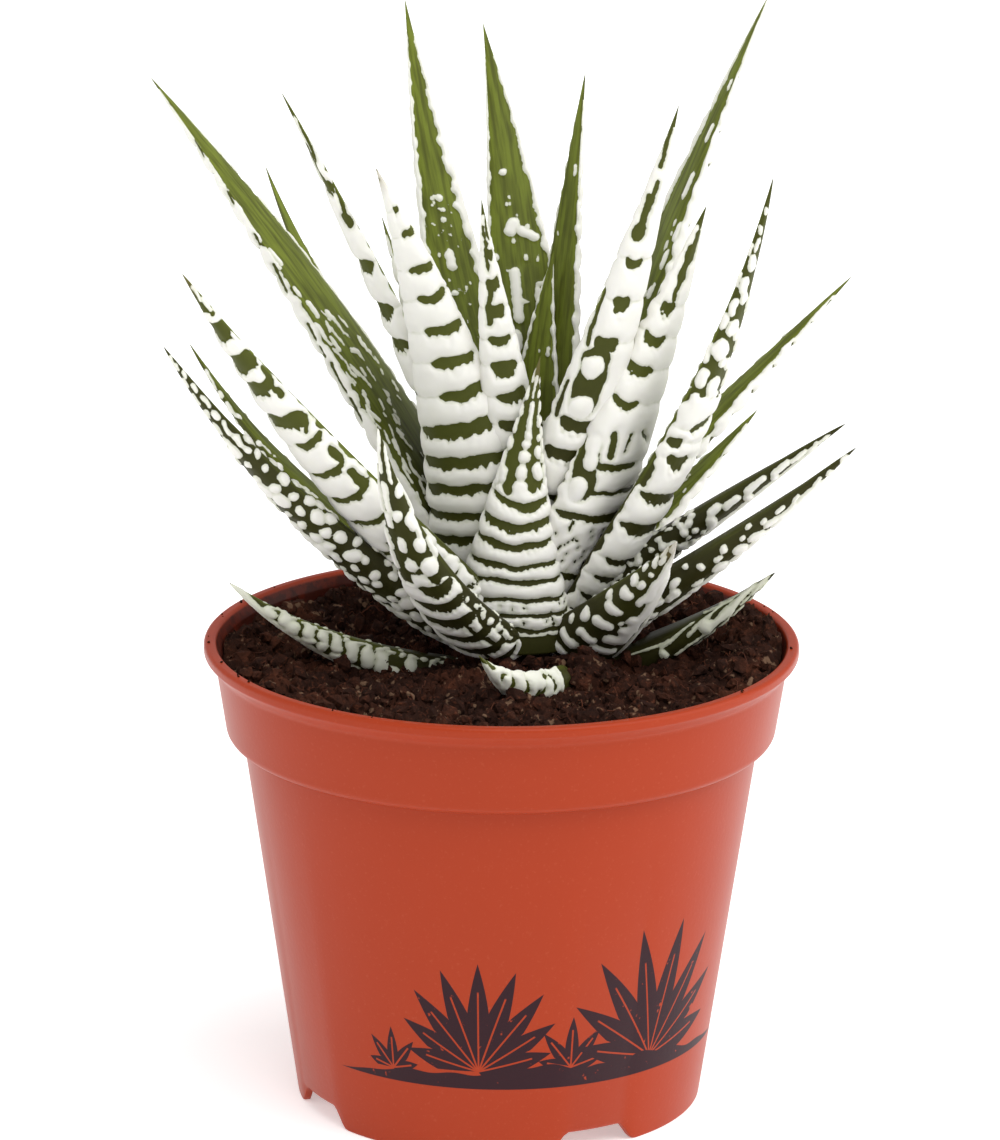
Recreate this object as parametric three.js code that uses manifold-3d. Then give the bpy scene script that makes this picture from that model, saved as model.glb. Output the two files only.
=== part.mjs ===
// A small haworthia with white-banded leaves, in a round plastic nursery pot.
// Millimetres, +Z up.  The origin is on the table, under the middle of the pot.
// -Y is the front.
import * as THREE from "three";
import { mergeVertices } from "three/addons/utils/BufferGeometryUtils.js";
import Module from "manifold-3d";

const wasm = await Module();
wasm.setup();

// ---- driving dimensions -------------------------------------------------------

const GAP = 0.3;               // air left between two pieces that touch
const MARGIN = 0.1;            // added to it for the facets of round pieces
const TOLERANCE = 0.04;        // how far a cut face may move to drop needless corners
const MERGE = 1e-4;            // corners closer than this are one

const POT = {
  height: 67.6,
  lipRadius: 42.4,             // outside of the lip, the 8.5 cm size of the pot
  lipWidth: 2.0,
  lipDepth: 1.9,
  bandTopRadius: 41.0,         // upright band under the lip
  bandFootRadius: 39.1,
  bandFoot: 54.0,
  stepThick: 0.9,              // the step in from the band to the wall
  wallTopRadius: 36.9,         // tapered wall below the band
  footRadius: 29.0,
  wall: 1.0,
  floor: 3.6,                  // underside of the raised floor
  floorThick: 1.2,
  chamfer: 0.4,
  sides: 40,
};

// Arched notches in the foot, and round holes in the floor, let the water out.
const NOTCH = { count: 4, first: -152, width: 14.2, height: 3.0, shoulder: 1.6, reach: 6 };
const DRAIN = { count: 6, radius: 2.6, ring: 17, sides: 10 };

const SOIL = {
  level: 63.8,                 // mean height of the soil's surface
  edge: 2.4,                   // how far it drops at the pot's wall
  dome: 1.4,                   // how far it rises towards the plant
  domeRadius: 22,
  tilt: 0.016,                 // how much higher it lies to the right, per mm
  crumb: 0.7,                  // height of the crumbs on it
  rings: 6,
  sides: 32,
};

const STEM = {
  x: 5, y: 8, foot: 50, shoulder: 58, top: 86, footRadius: 4.2, topRadius: 1.2, sides: 16,
};

const SECTION = 8;             // corners of a leaf's cross-section
const FULLNESS = 0.8;          // 1 is an ellipse, less is a fuller section
const OUTER_SHARE = 0.7;       // part of the thickness that lies on the outer face
const WIDEST = 0.22;           // where a leaf is widest, as a part of its length
const TAPER_START = 0.13;      // where it begins to narrow to the tip
const FOOT_SHARE = 0.62;       // width of a leaf's foot, as a part of its full width
const TAPER = 1.5;             // 1 is a straight-sided leaf, more is a rounder one
const THINNING = 0.8;          // less than 1 keeps a leaf thick for longer than wide
const TIP = 0.97;              // the last full section, before the point

const RELIEF = 0.42;           // how far the white bands stand out of a leaf
const RELIEF_SHARE = 0.3;      // and at the most, as a part of half the leaf's width
const RELIEF_START = 0.02;     // they rise from nothing along this stretch
const RELIEF_FULL = 0.12;
const CLEARANCE = RELIEF + GAP + MARGIN;
const SWOLLEN_STEPS = 8;       // rings of a leaf's smooth, swollen form

// The leaves, from the innermost to the outermost, leaf_01 and on.  azimuth, rise,
// slant, bow, sway, roll and twist are in degrees, the rest is in mm:
//   azimuth  the side of the stem that the leaf stands on, 270 is the front
//   out      how far from the stem's axis it starts, or at, its place on the soil
//   base     at which height it starts
//   rise     how steeply its foot climbs, and slant how far that leans sideways
//   bow      how far it bends up along its length, and sway how far sideways
//   roll     how far it is turned about its own length, and twist how much more
//            by its tip
//   foot     width of its foot and taper its outline, where they aren't the usual
//   bands    the white bands across it, or with spots, rows of raised spots
const LEAVES = [
  // the heart
  { azimuth: 75, out: 2.6, base: 82, rise: 80, slant: 9, bow: -12, sway: -14,
    length: 39, width: 8.5, thick: 3.6, bands: 7 },
  { azimuth: 262, out: 3, base: 80, rise: 79, slant: -10, bow: 2, sway: 6,
    length: 54, width: 9, thick: 4, bands: 9 },
  { azimuth: 160, out: 4, base: 77.5, rise: 62, bow: 10, sway: -2,
    length: 52, width: 8, thick: 3.6, bands: 8 },
  { azimuth: 45, out: 2.4, base: 78, rise: 77, slant: 11, bow: -6, sway: -2,
    length: 69, width: 9.5, thick: 4.2, bands: 10 },
  { azimuth: 298, out: 1.5, base: 81, rise: 69, slant: 8, bow: 3, sway: -3,
    length: 71.5, width: 12, thick: 6, bands: 12 },
  // the tall leaves
  { azimuth: 95, out: 3.6, base: 78, rise: 70, slant: -1, bow: -7, sway: 10,
    length: 77, width: 13.5, thick: 4.6, bands: 12 },
  { azimuth: 112, out: 4.2, base: 74, rise: 67, slant: 8, bow: 7, sway: -5,
    length: 84.5, width: 12.5, thick: 4.6, bands: 12 },
  { azimuth: 252, at: [-1.5, 6.5], base: 64, rise: 84, slant: -1, bow: -4, sway: -20,
    length: 74.5, width: 16, thick: 6.5, taper: 1.9, bands: 13 },
  { azimuth: 195, at: [1, 12.5], base: 72, rise: 69.5, slant: -2, bow: -7, sway: -1,
    length: 80.5, width: 11, thick: 5, bands: 12 },
  { azimuth: 315, out: 4, base: 72, rise: 72.6, slant: 10, bow: 2, sway: 1.5,
    length: 62.5, width: 15, thick: 6.5, taper: 1.6, bands: 11 },
  { azimuth: 272, at: [1.3, 0], base: 66, rise: 87, bow: 1, sway: 10,
    length: 44, width: 17.5, thick: 7, taper: 0.85, foot: 0.95, bands: 12 },
  // the spreading leaves
  { azimuth: 137, out: 4, base: 77.5, rise: 30, slant: 4.5, bow: 29, sway: -7,
    length: 70.5, width: 8, thick: 4.4, bands: 11 },
  { azimuth: 158, out: 5, base: 67, rise: 59.4, bow: -11, sway: 1,
    length: 93.5, width: 15.5, thick: 5.5, taper: 1.8, bands: 14 },
  { azimuth: 328, out: 4, base: 67.5, rise: 53.5, slant: 7, bow: 26, sway: -3,
    length: 76, width: 12, thick: 5.5, spots: true, bands: 12 },
  { azimuth: 20, out: 3.4, base: 72, rise: 46, bow: -4,
    length: 62, width: 9, thick: 4.6, bands: 10 },
  { azimuth: 215, out: 4.3, base: 65, rise: 43, slant: -5, bow: 14, sway: -2, roll: 10,
    length: 79, width: 13, thick: 7, taper: 1.7, bands: 13 },
  { azimuth: 168, out: 4, base: 66, rise: 22, bow: 35, sway: -4,
    length: 63, width: 9, thick: 4.6, spots: true, bands: 10 },
  { azimuth: 30, out: 3.6, base: 69, rise: 33, bow: 9,
    length: 42, width: 9, thick: 4.6, bands: 7 },
  { azimuth: 352, out: 3.2, base: 68.5, rise: 38, bow: -2, roll: -10,
    length: 51, width: 11, thick: 6, spots: true, bands: 9 },
  { azimuth: 230, out: 4.3, base: 64, rise: 24.5, slant: 2, bow: 54,
    length: 54, width: 12.5, thick: 7, bands: 12 },
  { azimuth: 200, out: 4.2, base: 62.5, rise: 32, bow: 25, sway: 4, roll: 15,
    length: 74, width: 10.5, thick: 6, taper: 1.7, spots: true, bands: 13 },
  // the lowest leaves
  { azimuth: 336, out: 3.8, base: 63.8, rise: 33.8, bow: 9.5,
    length: 57.3, width: 13, thick: 6.5, spots: true, bands: 10 },
  { azimuth: 315, out: 4, base: 63, rise: 33, bow: 20, sway: -4, roll: -25,
    length: 34, width: 12, thick: 7, taper: 1.7, bands: 8 },
  { azimuth: 196, out: 4, base: 59.6, rise: 4, bow: 38, sway: 2, roll: 15,
    length: 46, width: 10, thick: 6, taper: 1.6, spots: true, bands: 9 },
  { azimuth: 345, out: 4, base: 58.3, rise: 22, bow: 21,
    length: 37, width: 10.5, thick: 6, spots: true, bands: 7 },
  { azimuth: 215, at: [11, -4.5], base: 63.5, rise: -7, slant: 19.5, bow: 54, sway: 2, roll: 50,
    length: 27, width: 7.2, thick: 5, bands: 6 },
  // the tallest leaf, behind the others, and two at the back
  { azimuth: 20, out: 3, base: 72, rise: 74, slant: 1, bow: -11, sway: 3.7,
    length: 90.8, width: 14.5, thick: 5.5, bands: 6 },
  { azimuth: 88, out: 4, base: 64, rise: 30, bow: 14,
    length: 38, width: 11, thick: 5, bands: 5 },
  { azimuth: 116, out: 4, base: 65, rise: 32, bow: 12,
    length: 39, width: 11, thick: 5, bands: 5 },
];

// ---- materials ----------------------------------------------------------------

const material = (name, colour, roughness) =>
  new THREE.MeshStandardMaterial({ name, color: colour, roughness, metalness: 0 });

const LEAF = material("leaf", 0x8e9b78, 0.5);
const STEM_SKIN = material("stem", 0x55602f, 0.7);
const EARTH = material("soil", 0x2d1612, 0.95);
const PLASTIC = material("pot_plastic", 0xc8583c, 0.45);

// ---- solids -------------------------------------------------------------------

const ease = THREE.MathUtils.smoothstep;
const radians = THREE.MathUtils.degToRad;
const vector = (x, y, z) => new THREE.Vector3(x, y, z);

/** A closed geometry as a solid that can be joined and cut. */
function solid(geometry) {
  geometry.deleteAttribute("normal");
  geometry.deleteAttribute("uv");
  const merged = mergeVertices(geometry, MERGE);
  return new wasm.Manifold(new wasm.Mesh({
    numProp: 3,
    vertProperties: new Float32Array(merged.attributes.position.array),
    triVerts: new Uint32Array(merged.index.array),
  }));
}

/** The largest body of a solid, so that scraps from a cut are dropped. */
function largest(body) {
  const bodies = body.decompose();
  return bodies.reduce((a, b) => (b.volume() > a.volume() ? b : a));
}

/** A solid back as a named mesh. */
function mesh(name, body, skin) {
  const { vertProperties, triVerts } = body.getMesh();
  const geometry = new THREE.BufferGeometry();
  geometry.setAttribute("position", new THREE.BufferAttribute(vertProperties, 3));
  geometry.setIndex(new THREE.BufferAttribute(triVerts, 1));
  geometry.computeVertexNormals();
  const result = new THREE.Mesh(geometry, skin);
  result.name = name;
  return result;
}

/** A solid of stacked rings of points, closed at each end to a single point. */
function stacked(rings, start, end) {
  const faces = [];
  const corners = rings[0].length;
  for (let ring = 0; ring + 1 < rings.length; ring += 1) {
    for (let corner = 0; corner < corners; corner += 1) {
      const a = ring * corners + corner;
      const b = ring * corners + (corner + 1) % corners;
      faces.push(a, b, b + corners, a, b + corners, a + corners);
    }
  }
  const points = [...rings.flat(), start, end];
  const last = (rings.length - 1) * corners;
  for (let corner = 0; corner < corners; corner += 1) {
    const next = (corner + 1) % corners;
    faces.push(points.length - 2, next, corner);
    faces.push(points.length - 1, last + corner, last + next);
  }
  const geometry = new THREE.BufferGeometry();
  const array = new Float32Array(points.flatMap((p) => [p.x, p.y, p.z]));
  geometry.setAttribute("position", new THREE.BufferAttribute(array, 3));
  geometry.setIndex(faces);
  return solid(geometry);
}

/** A round solid about the Z axis from a profile of [radius, height]. */
function lathed(profile, sides, x = 0, y = 0) {
  const points = profile.map(([radius, height]) => new THREE.Vector2(radius, height));
  const lathe = new THREE.LatheGeometry(points, sides);
  lathe.rotateX(Math.PI / 2);
  lathe.translate(x, y, 0);
  return solid(lathe);
}

// ---- leaves -------------------------------------------------------------------

/** The place and the directions of a leaf at any part t of its length. */
function leafFrame(leaf) {
  const azimuth = radians(leaf.azimuth);
  const rise = radians(leaf.rise);
  const outward = vector(Math.cos(azimuth), Math.sin(azimuth), 0);
  const along = outward.clone().multiplyScalar(Math.cos(rise));
  along.z = Math.sin(rise);
  const inward = outward.clone().multiplyScalar(-Math.sin(rise));
  inward.z = Math.cos(rise);
  const side = vector(-outward.y, outward.x, 0);
  along.applyAxisAngle(inward, radians(leaf.slant ?? 0));
  side.applyAxisAngle(inward, radians(leaf.slant ?? 0));

  const standing = [STEM.x + leaf.out * outward.x, STEM.y + leaf.out * outward.y];
  const foot = vector(...(leaf.at ?? standing), leaf.base);
  const bow = radians(leaf.bow);
  const sway = radians(leaf.sway ?? 0);
  const bend = Math.hypot(bow, sway);
  const towards = inward.clone().multiplyScalar(bow / bend).addScaledVector(side, sway / bend);
  const axis = along.clone().cross(towards);

  return (t) => {
    const angle = bend * t;
    const place = foot.clone()
      .addScaledVector(along, leaf.length * Math.sin(angle) / bend)
      .addScaledVector(towards, leaf.length * (1 - Math.cos(angle)) / bend);
    const ahead = along.clone().applyAxisAngle(axis, angle);
    const roll = radians((leaf.roll ?? 0) + (leaf.twist ?? 0) * t);
    const across = side.clone().applyAxisAngle(axis, angle).applyAxisAngle(ahead, roll);
    const inner = inward.clone().applyAxisAngle(axis, angle).applyAxisAngle(ahead, roll);
    return { place, ahead, across, inner };
  };
}

/** How wide a leaf is at a part t of its length, 1 being its full width. */
function leafTaper(leaf, t) {
  const share = leaf.foot ?? FOOT_SHARE;
  const foot = share + (1 - share) * ease(t, 0, WIDEST);
  const run = Math.max(0, (t - TAPER_START) / (1 - TAPER_START));
  return foot * (1 - run ** (leaf.taper ?? TAPER));
}

/** A value from -1 to 1 pushed outwards, for a section fuller than an ellipse. */
const full = (value) => Math.sign(value) * Math.abs(value) ** FULLNESS;

/** A leaf with its raised bands or spots or, if swollen, smooth and larger all over. */
function leafSolid(leaf, swollen = 0) {
  const at = leafFrame(leaf);
  const steps = swollen ? SWOLLEN_STEPS : 2 * leaf.bands;
  const rings = [];
  for (let step = 0; step <= steps; step += 1) {
    const t = TIP * step / steps;
    const { place, across, inner } = at(t);
    const taper = leafTaper(leaf, t);
    const halfWidth = leaf.width / 2 * taper;
    const depth = leaf.thick * taper ** THINNING;
    const relief = Math.min(RELIEF, RELIEF_SHARE * halfWidth) * ease(t, RELIEF_START, RELIEF_FULL);
    const ring = [];
    for (let corner = 0; corner < SECTION; corner += 1) {
      const angle = 2 * Math.PI * corner / SECTION;
      const outer = corner === 0 || corner >= SECTION / 2;
      const raised = (leaf.spots ? step + corner : step) % 2 === 1 && outer ? relief : 0;
      const skin = swollen || raised;
      const share = outer ? OUTER_SHARE : 1 - OUTER_SHARE;
      const x = full(Math.cos(angle)) * halfWidth + skin * Math.cos(angle);
      const y = full(Math.sin(angle)) * depth * share + skin * Math.sin(angle);
      const middle = depth * (OUTER_SHARE - 0.5);
      ring.push(place.clone().addScaledVector(across, x).addScaledVector(inner, y + middle));
    }
    rings.push(ring);
  }
  const foot = at(0);
  const tip = at(1);
  return stacked(
    rings,
    foot.place.addScaledVector(foot.ahead, -swollen),
    tip.place.addScaledVector(tip.ahead, swollen),
  );
}

// ---- stem ---------------------------------------------------------------------

/** The short stem that the leaves stand on, a tapered peg with a pointed head. */
function stemSolid(swollen = 0) {
  return lathed([
    [0, STEM.foot - swollen],
    [STEM.footRadius + swollen, STEM.foot - swollen],
    [STEM.footRadius + swollen, STEM.shoulder],
    [STEM.topRadius + swollen, STEM.top + swollen],
    [0, STEM.top + STEM.topRadius + swollen],
  ], STEM.sides, STEM.x, STEM.y);
}

// ---- pot ----------------------------------------------------------------------

/** Radius of the outside of the pot's wall at a height below the band. */
function wallRadius(z) {
  return THREE.MathUtils.mapLinear(z, 0, POT.bandFoot, POT.footRadius, POT.wallTopRadius);
}

/** Radius of the outside of the pot's band at a height. */
function bandRadius(z) {
  const top = POT.height - POT.lipDepth;
  return THREE.MathUtils.mapLinear(z, POT.bandFoot, top, POT.bandFootRadius, POT.bandTopRadius);
}

/** The pot's wall, band, lip and floor, before any hole is cut. */
function potBody() {
  const { height, lipRadius, lipWidth, lipDepth, bandFoot, wall, floor, chamfer } = POT;
  const underLip = height - lipDepth;
  const mouth = lipRadius - lipWidth;
  const step = bandFoot + POT.stepThick;
  const floorTop = floor + POT.floorThick;
  return lathed([
    [0, floor],
    [wallRadius(floor) - wall, floor],
    [POT.footRadius - wall, 0],
    [POT.footRadius - chamfer / 2, 0],
    [POT.footRadius, chamfer],
    [wallRadius(bandFoot), bandFoot],
    [POT.bandFootRadius - chamfer, bandFoot],
    [POT.bandFootRadius, bandFoot + chamfer],
    [POT.bandTopRadius, underLip],
    [lipRadius - chamfer, underLip],
    [lipRadius, underLip + chamfer],
    [lipRadius, height - chamfer],
    [lipRadius - chamfer, height],
    [mouth + chamfer, height],
    [mouth, height - chamfer],
    [POT.bandTopRadius - wall, underLip - chamfer],
    [POT.bandFootRadius - wall, step],
    [wallRadius(bandFoot) - wall, step],
    [wallRadius(floorTop) - wall, floorTop],
    [0, floorTop],
  ], POT.sides);
}

/** A cutter for one notch in the foot, at the front, with a curved shoulder each side. */
function notchCutter() {
  const { width, height, shoulder, reach } = NOTCH;
  const half = width / 2;
  const arch = new THREE.Shape();
  arch.moveTo(-half, -1);
  arch.lineTo(-half, 0);
  arch.bezierCurveTo(
    shoulder - half, 0,
    shoulder - half, height,
    2 * shoulder - half, height,
  );
  arch.lineTo(half - 2 * shoulder, height);
  arch.bezierCurveTo(
    half - shoulder, height,
    half - shoulder, 0,
    half, 0,
  );
  arch.lineTo(half, -1);
  const cutter = new THREE.ExtrudeGeometry(arch, {
    depth: reach, bevelEnabled: false, curveSegments: 5,
  });
  cutter.rotateX(Math.PI / 2);
  cutter.translate(0, reach / 2 - POT.footRadius, 0);
  return cutter;
}

function potSolid() {
  let pot = potBody();
  for (let notch = 0; notch < NOTCH.count; notch += 1) {
    const front = 90;
    const cutter = notchCutter();
    cutter.rotateZ(radians(NOTCH.first + front + notch * 360 / NOTCH.count));
    pot = pot.subtract(solid(cutter));
  }
  for (let hole = 0; hole < DRAIN.count; hole += 1) {
    const angle = 2 * Math.PI * hole / DRAIN.count;
    const length = 3 * POT.floorThick;
    const drill = new THREE.CylinderGeometry(DRAIN.radius, DRAIN.radius, length, DRAIN.sides);
    drill.rotateX(Math.PI / 2);
    drill.translate(
      DRAIN.ring * Math.cos(angle),
      DRAIN.ring * Math.sin(angle),
      POT.floor + POT.floorThick / 2,
    );
    pot = pot.subtract(solid(drill));
  }
  return pot;
}

// ---- soil ---------------------------------------------------------------------

/** Height of the soil's surface, higher round the plant, uneven and crumbly. */
function soilHeight(x, y) {
  const away = Math.hypot(x - STEM.x, y - STEM.y) / SOIL.domeRadius;
  const dome = SOIL.dome * Math.exp(-(away ** 2)) + SOIL.tilt * x;
  const slow = Math.sin(0.31 * x + 1.1) * Math.sin(0.27 * y + 0.4);
  const quick = 0.6 * Math.sin(0.83 * x - 0.61 * y);
  return SOIL.level + dome + SOIL.crumb * (slow + quick);
}

/** The soil fills the pot and leaves a hole for all that stands in it. */
function soilSolid(standing) {
  const bottom = POT.floor + POT.floorThick + GAP;
  const step = POT.bandFoot + POT.stepThick + GAP;
  const edge = SOIL.level - SOIL.edge;
  const inside = POT.wall + GAP + MARGIN;
  const ring = (radius, height) => Array.from({ length: SOIL.sides }, (_, i) => {
    const angle = 2 * Math.PI * i / SOIL.sides;
    const x = radius * Math.cos(angle);
    const y = radius * Math.sin(angle);
    return vector(x, y, height ?? soilHeight(x, y));
  });
  const rings = [
    ring(wallRadius(bottom) - inside, bottom),
    ring(wallRadius(POT.bandFoot) - inside, step),
    ring(bandRadius(step) - inside, step),
    ring(bandRadius(edge) - inside, edge),
  ];
  for (let left = SOIL.rings; left > 0; left -= 1) {
    rings.push(ring((bandRadius(edge) - inside) * (left - MARGIN) / SOIL.rings));
  }
  const body = stacked(rings, vector(0, 0, bottom), vector(0, 0, soilHeight(0, 0)));
  return largest(body.subtract(standing).simplify(TOLERANCE));
}

// ---- the plant in its pot -------------------------------------------------------

const plant = new THREE.Group();
let standing = stemSolid(GAP);
LEAVES.forEach((leaf, index) => {
  const name = `leaf_${String(index + 1).padStart(2, "0")}`;
  const body = largest(leafSolid(leaf).subtract(standing).simplify(TOLERANCE));
  plant.add(mesh(name, body, LEAF));
  standing = standing.add(leafSolid(leaf, CLEARANCE));
});
plant.add(mesh("stem", stemSolid(), STEM_SKIN));
plant.add(mesh("soil", soilSolid(standing), EARTH));
plant.add(mesh("pot", potSolid(), PLASTIC));

export default plant;
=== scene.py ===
"""A small haworthia with white-banded leaves, in a round plastic nursery pot.

Metres, +Z up.  The origin is on the table, under the middle of the pot, and -Y is
the front.  Tables of sizes are in millimetres and degrees, and say so.
"""

import math
from dataclasses import dataclass, field

import bmesh
import bpy
import numpy as np
from bpy.props import (
    FloatProperty,
    FloatVectorProperty,
    IntProperty,
    PointerProperty,
)
from mathutils import Euler, Matrix, Vector, noise


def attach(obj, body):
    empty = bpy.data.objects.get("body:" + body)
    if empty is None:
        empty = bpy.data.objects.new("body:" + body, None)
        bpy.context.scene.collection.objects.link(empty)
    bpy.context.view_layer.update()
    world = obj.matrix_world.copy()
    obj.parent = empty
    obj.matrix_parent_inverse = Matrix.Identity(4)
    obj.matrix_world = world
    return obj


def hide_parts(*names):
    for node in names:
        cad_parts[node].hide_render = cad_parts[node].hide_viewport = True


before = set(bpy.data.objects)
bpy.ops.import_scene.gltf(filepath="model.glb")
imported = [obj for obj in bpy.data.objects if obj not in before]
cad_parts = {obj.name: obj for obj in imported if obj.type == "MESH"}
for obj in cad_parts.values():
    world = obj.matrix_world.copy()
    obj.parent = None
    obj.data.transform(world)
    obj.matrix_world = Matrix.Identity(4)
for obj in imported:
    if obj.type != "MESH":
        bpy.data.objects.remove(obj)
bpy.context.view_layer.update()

bl_info = {
    "name": "Potted haworthia",
    "version": (1, 0, 0),
    "blender": (4, 5, 0),
    "location": "3D View > Sidebar > Haworthia",
    "description": "Makes the leaves, soil and pot of a small potted haworthia",
    "category": "Add Mesh",
}

MM = 0.001
BODY = "root"

# ---- the pot and the soil, in mm ------------------------------------------------

HEIGHT = 67.6
LIP_RADIUS = 42.4
LIP_WIDTH = 1.6
LIP_DEPTH = 1.4
LIP_SLOPE = 1.7                     # over what height it runs out into the band
BAND_TOP_RADIUS = 41.0
BAND_FOOT_RADIUS = 39.1
BAND_FOOT = 54.0
STEP_THICK = 0.9
WALL_TOP_RADIUS = 36.9
FOOT_RADIUS = 29.0
WALL = 1.0
FLOOR = 3.6
FLOOR_THICK = 1.2
NOTCH_AT = (-152, -62, 28, 118)     # degrees
NOTCH_HALF = (3.9, 7.1)             # half its width, at the top and at the foot
NOTCH_HEIGHT = 3.0
DRAINS = 6
DRAIN_RADIUS = 2.6
DRAIN_RING = 17.0

SOIL_LEVEL = 63.8
SOIL_DOME = (1.4, 22.0)             # how far it rises to the plant, and over what radius
SOIL_TILT = 0.016
SOIL_CRUMB = 0.7
SOIL_RADIUS = 39.0
SOIL_RISE = 2.9                     # its rise towards the wall, as a smooth step
SOIL_SLOPE = (27.0, 11.0)           # from which radius it rises, and over what width
SOIL_DIP = 1.2                      # what a fall takes off that rise again, most at the wall
# Where it lies higher or lower: (x, y), height, reach, reach across, turn in degrees
SOIL_HOLLOWS = [
    ((36.0, 4.0), 1.5, 7.0, 16.0, 0.0),
    ((-13.0, -4.5), -1.5, 8.0, 3.6, 12.0),
    ((19.0, -3.0), -2.0, 7.5, 3.4, -4.0),
    ((8.6, -14.6), -2.3, 6.5, 3.6, 54.0),
    ((12.8, -4.8), 2.2, 2.6, 2.2, 0.0),
]

PRINT_RADIUS = 33.0                 # of the wall behind the printed design
GROUND = (10.0, 37.0)               # middle of its strip of ground, and half its length
GROUND_FOOT = 10.6                  # the strip's lower edge
GROUND_HEIGHT = 3.2
FAN_EDGE = 0.25                     # from level to a fan's first leaf, in radians
# The printed plants: (round the pot from the front, height), leaves, length and width
FANS = [
    ((-3.0, 13.4), 9, 17.0, 3.6),
    ((25.0, 13.0), 8, 21.0, 4.0),
    ((11.0, 13.6), 5, 8.0, 2.2),
    ((-16.5, 12.6), 5, 6.5, 1.9),
]


def wall_radius(z):
    """Outside of the pot's wall under the band, in mm."""
    return FOOT_RADIUS + (WALL_TOP_RADIUS - FOOT_RADIUS) * z / BAND_FOOT


def band_radius(z):
    """Outside of the pot's band, in mm."""
    part = (z - BAND_FOOT) / (HEIGHT - LIP_DEPTH - BAND_FOOT)
    return BAND_FOOT_RADIUS + (BAND_TOP_RADIUS - BAND_FOOT_RADIUS) * part


def pot_section():
    """Corners of the pot's section as (radius, height, rounding), in mm."""
    under_lip = HEIGHT - LIP_DEPTH
    step = BAND_FOOT + STEP_THICK
    return [
        (wall_radius(FLOOR) - WALL, FLOOR, 0.0),
        (FOOT_RADIUS - WALL, 0.0, 0.12),
        (FOOT_RADIUS, 0.0, 0.3),
        (wall_radius(FLOOR), FLOOR, 0.0),
        (wall_radius(BAND_FOOT), BAND_FOOT, 0.35),
        (BAND_FOOT_RADIUS, BAND_FOOT, 1.3),
        (band_radius(under_lip - LIP_SLOPE), under_lip - LIP_SLOPE, 1.4),
        (LIP_RADIUS, under_lip, 0.45),
        (LIP_RADIUS, HEIGHT, 0.6),
        (LIP_RADIUS - LIP_WIDTH, HEIGHT, 0.55),
        (BAND_TOP_RADIUS - WALL, under_lip - 0.4, 0.6),
        (BAND_FOOT_RADIUS - WALL, step, 0.5),
        (wall_radius(BAND_FOOT) - WALL, step, 0.3),
        (wall_radius(FLOOR) - WALL, FLOOR, 0.0),
    ]


def soil_height(x, y):
    """Height of the soil's surface before its fine crumbs, in mm."""
    dome, radius = SOIL_DOME
    away = math.hypot(x - STEM_AXIS[0], y - STEM_AXIS[1]) / radius
    slow = math.sin(0.31 * x + 1.1) * math.sin(0.27 * y + 0.4)
    quick = 0.6 * math.sin(0.83 * x - 0.61 * y)
    return SOIL_LEVEL + dome * math.exp(-away ** 2) + SOIL_TILT * x + SOIL_CRUMB * (slow + quick)


# ---- the leaves -----------------------------------------------------------------

STEM_AXIS = (5.0, 8.0)         # mm
FULLNESS = 0.8                 # 1 is an ellipse, less is a fuller section
OUTER_SHARE = 0.7              # part of the thickness that lies on the outer face
WIDEST = 0.22                  # where a leaf is widest, as a part of its length
TAPER_START = 0.13             # where it begins to narrow to the tip
THINNING = 0.8                 # less than 1 keeps a leaf thick for longer than wide
INSET = 0.75                   # how far the green lies under the frame's leaf, in reliefs
RELIEF_MOST = 0.3              # the relief at most, as a part of half a leaf's width
RELIEF_START = (0.02, 0.12)    # the stretch at the foot in which it begins
FOOT_SHADE = 0.6               # painted shade: how much darker a leaf's foot is
FOOT_SHADE_END = (0.12, 0.62)  # the stretch in which that fades
DRY_TIP = (5.0, 1.5)           # from where to where a dry tip browns, in mm from the tip


@dataclass
class Marks:
    """The white of a leaf, in mm and in parts of 1.

    A place on a leaf is (t, s).  t is the part of its length.  s runs from -1 at the
    left margin over the keel at 0 to 1 at the right margin, and on to 2 or -2 in the
    middle of the inner face.
    """

    bands: tuple = (0.0, 0.95)          # from where to where the outer face is white
    pitch: tuple = (3.0, 4.6, 4.0)      # from slit to slit, at the foot, middle and tip
    slit: tuple = (0.9, 1.2, 0.9)       # how wide these green slits are
    reach: tuple = (-0.9, 0.9)          # from which s to which they run
    even: tuple = (0.0, 0.92)           # the stretch that has them evenly spaced
    smile: float = 0.5                  # how far their ends rise
    sharp: float = 0.0                  # 0 is a round smile, 1 a pointed one
    crease: bool = True                 # whether a shallow line goes on to the margins
    cuts: tuple = ()                    # more slits: (t, s, to s, width, rise, lean)
    gaps: tuple = ()                    # other green: (t, s, length, width, turn in degrees)
    dots: tuple = ()                    # single white spots, given in the same way
    edges: tuple = (0.5, 0.5)           # how far the white goes round each margin
    scallop: float = 0.35               # unevenness of its edge there
    spots: tuple = ()                   # the stretch that has rows of spots
    rows: float = 2.3                   # from row to row
    step: float = 2.2                   # from spot to spot in a row
    size: tuple = (1.4, 1.5, 1.2)       # their size at the left margin, keel and right
    across: tuple = (-1.0, 1.0)         # from which s to which they lie
    drop: float = 0.12                  # share of them that are missing
    sprinkle: tuple = ()                # small dashes: (count, t, to t, s, to s, length)


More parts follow.
